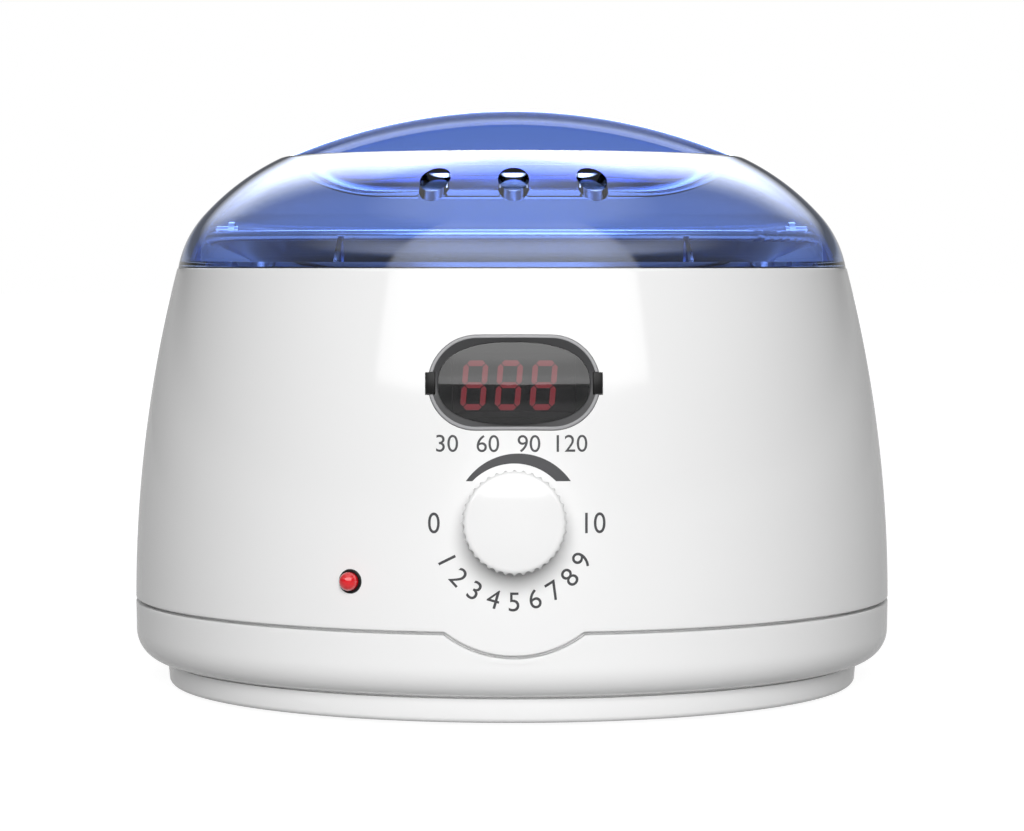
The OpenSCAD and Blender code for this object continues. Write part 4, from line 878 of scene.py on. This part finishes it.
# Studio. Heights and turns are pairs of degrees and level: degrees above the horizon, or away from straight
# behind. Spans are the parts of a direction's X, Y or Z over which a shade sets in.
studio = {
    "cameraDistance": 828.4, "cameraHeight": 103, "cameraTurn": 0.3, "cameraPitch": 2.53, "lens": 117.3,
    "fillLevel": 3.15, "fillHeight": 18, "fillSpread": 30, "worldLevel": 0.09,
    "floorSize": 12, "floorColour": 0.3, "floorGlow": 0.92, "glowFade": (0.12, 0.5), "floorShine": 0.45,
    "frontShade": 0.3, "frontSpan": (-0.1, 0.4), "sideShade": 0.05, "sideSpan": (0.6, 0.85),
    "ceilingShade": 0.15, "ceilingSpan": (0.05, 0.35), "topLevel": 10,
    "horizon": ((0, 0.5), (4, 0.5), (7, 0.15), (12, 0.15), (20, 0.4), (60, 0.5), (70, 1.3), (90, 1.35)),
    "backHeights": ((12, 0), (16, 0.7), (21, 1.6), (28, 3.9), (38, 5.6), (46, 6.8), (54, 7.8), (56, 6),
                    (59, 4.1), (63, 2.6), (67, 1.2), (71, 0)),
    "backTurns": ((12, 1), (17, 0.93), (22, 0.74), (27, 0.5), (32, 0.26), (37, 0.08), (42, 0)),
    "frontHeights": ((16.4, 0), (16.8, 3.1), (28, 3.1), (34, 4.0), (44, 4.2), (52, 2.5), (61, 1.4),
                     (72, 0)),
    "frontTurns": ((135, 0), (137, 0.85), (148, 1), (180, 1)),
    "wingHeights": ((30, 0), (34, 2.2), (40, 2.4), (50, 0)),
    "wingTurns": ((88, 0), (135, 1), (137, 0))}
turn, distance = math.radians(studio["cameraTurn"]), studio["cameraDistance"] * mm
camera = bpy.data.objects.new("camera", bpy.data.cameras.new("camera"))
camera.data.lens = studio["lens"]
camera.data.sensor_width = 36
camera.data.clip_start = 0.01
camera.location = (-math.sin(turn) * distance, axisY - math.cos(turn) * distance, studio["cameraHeight"] * mm)
camera.rotation_euler = (math.radians(90 - studio["cameraPitch"]), 0, -turn)
scene.collection.objects.link(camera)
scene.camera = camera

fill = bpy.data.objects.new("frontFill", bpy.data.lights.new("frontFill", "SUN"))
fill.data.energy = studio["fillLevel"]
fill.data.angle = math.radians(studio["fillSpread"])
fill.rotation_euler = (math.radians(90 - studio["fillHeight"]), 0, 0)
fill.visible_glossy = False
fill.visible_transmission = False
scene.collection.objects.link(fill)

# The floor takes the object's shadow and turns to plain white away from it
bm = bmesh.new()
bmesh.ops.create_grid(bm, x_segments=1, y_segments=1, size=studio["floorSize"])
floor = newObject("floor", bm)
paleFloor = bpy.data.materials.new("paleFloor")
paleFloor.use_nodes = True
t = paleFloor.node_tree
t.nodes.clear()
ray = node(t, "ShaderNodeLightPath").outputs
seen = calc(t, "MAXIMUM", ray["Is Camera Ray"], ray["Is Transmission Ray"])
place = node(t, "ShaderNodeTexCoord").outputs["Object"]
away = node(t, "ShaderNodeVectorMath", {0: place}, operation="LENGTH")
whitened = ranged(t, away.outputs["Value"], studio["glowFade"], (studio["floorGlow"], 1.0))
shine = calc(t, "MULTIPLY", ray["Is Glossy Ray"], studio["floorShine"])
glowLevel = calc(t, "MAXIMUM", calc(t, "MULTIPLY", seen, whitened), shine)
diffuse = node(t, "ShaderNodeBsdfDiffuse", {"Color": (*[studio["floorColour"]] * 3, 1)})
glow = node(t, "ShaderNodeEmission", {"Strength": glowLevel})
both = node(t, "ShaderNodeAddShader", {0: diffuse.outputs[0], 1: glow.outputs[0]})
node(t, "ShaderNodeOutputMaterial", {"Surface": both.outputs[0]})
floor.data.materials.append(paleFloor)

world = bpy.data.worlds.new("studio")
scene.world = world
world.use_nodes = True
t = world.node_tree
ray = node(t, "ShaderNodeLightPath").outputs
place = node(t, "ShaderNodeTexCoord").outputs["Generated"]
towards = node(t, "ShaderNodeSeparateXYZ", {"Vector": place}).outputs
# Through clear plastic: a white backdrop behind, a dim room in front, dark cards at the sides, a dark ceiling
backdrop = ranged(t, towards["Y"], studio["frontSpan"], (studio["frontShade"], 1.0), "SMOOTHSTEP")
sideways = calc(t, "ABSOLUTE", towards["X"])
cards = ranged(t, sideways, studio["sideSpan"], (1.0, studio["sideShade"]), "SMOOTHSTEP")
ceiling = ranged(t, towards["Z"], studio["ceilingSpan"], (1.0, studio["ceilingShade"]), "SMOOTHSTEP")
room = calc(t, "MULTIPLY", calc(t, "MULTIPLY", backdrop, cards), ceiling)


# Level over an angle, straight between its pairs
def levelCurve(tree, angle, widest, pairs, top=1):
    ramp = node(tree, "ShaderNodeValToRGB", {0: calc(tree, "DIVIDE", angle, math.radians(widest))})
    stops = ramp.color_ramp.elements
    stops.remove(stops[1])
    for k, (degrees, value) in enumerate(pairs):
        stop = stops[0] if k == 0 else stops.new(degrees / widest)
        stop.position = degrees / widest
        stop.color = (value / top, value / top, value / top, 1)
    return calc(tree, "MULTIPLY", ramp.outputs["Color"], top)


# Reflected: a big soft light high behind, a softbox in front with a wing at each side, and a pale horizon
height = calc(t, "ARCSINE", towards["Z"])
fromBack = calc(t, "ABSOLUTE", calc(t, "ARCTAN2", towards["X"], towards["Y"]))
shone = levelCurve(t, height, 90, studio["horizon"], studio["topLevel"])
for light in ("back", "front", "wing"):
    upright = levelCurve(t, height, 90, studio[f"{light}Heights"], studio["topLevel"])
    across = levelCurve(t, fromBack, 180, studio[f"{light}Turns"])
    shone = calc(t, "MULTIPLY_ADD", upright, across, shone)


def chosen(tree, share, without, within):
    return node(tree, "ShaderNodeMix", {0: share, 2: without, 3: within}, data_type="FLOAT").outputs[0]


lit = chosen(t, ray["Is Transmission Ray"], studio["worldLevel"], room)
level = calc(t, "MAXIMUM", chosen(t, ray["Is Glossy Ray"], lit, shone), ray["Is Camera Ray"])
background = t.nodes["Background"].inputs
background["Color"].default_value = (1, 1, 1, 1)
t.links.new(level, background["Strength"])
scene.view_settings.view_transform = "Standard"
print("studio made")
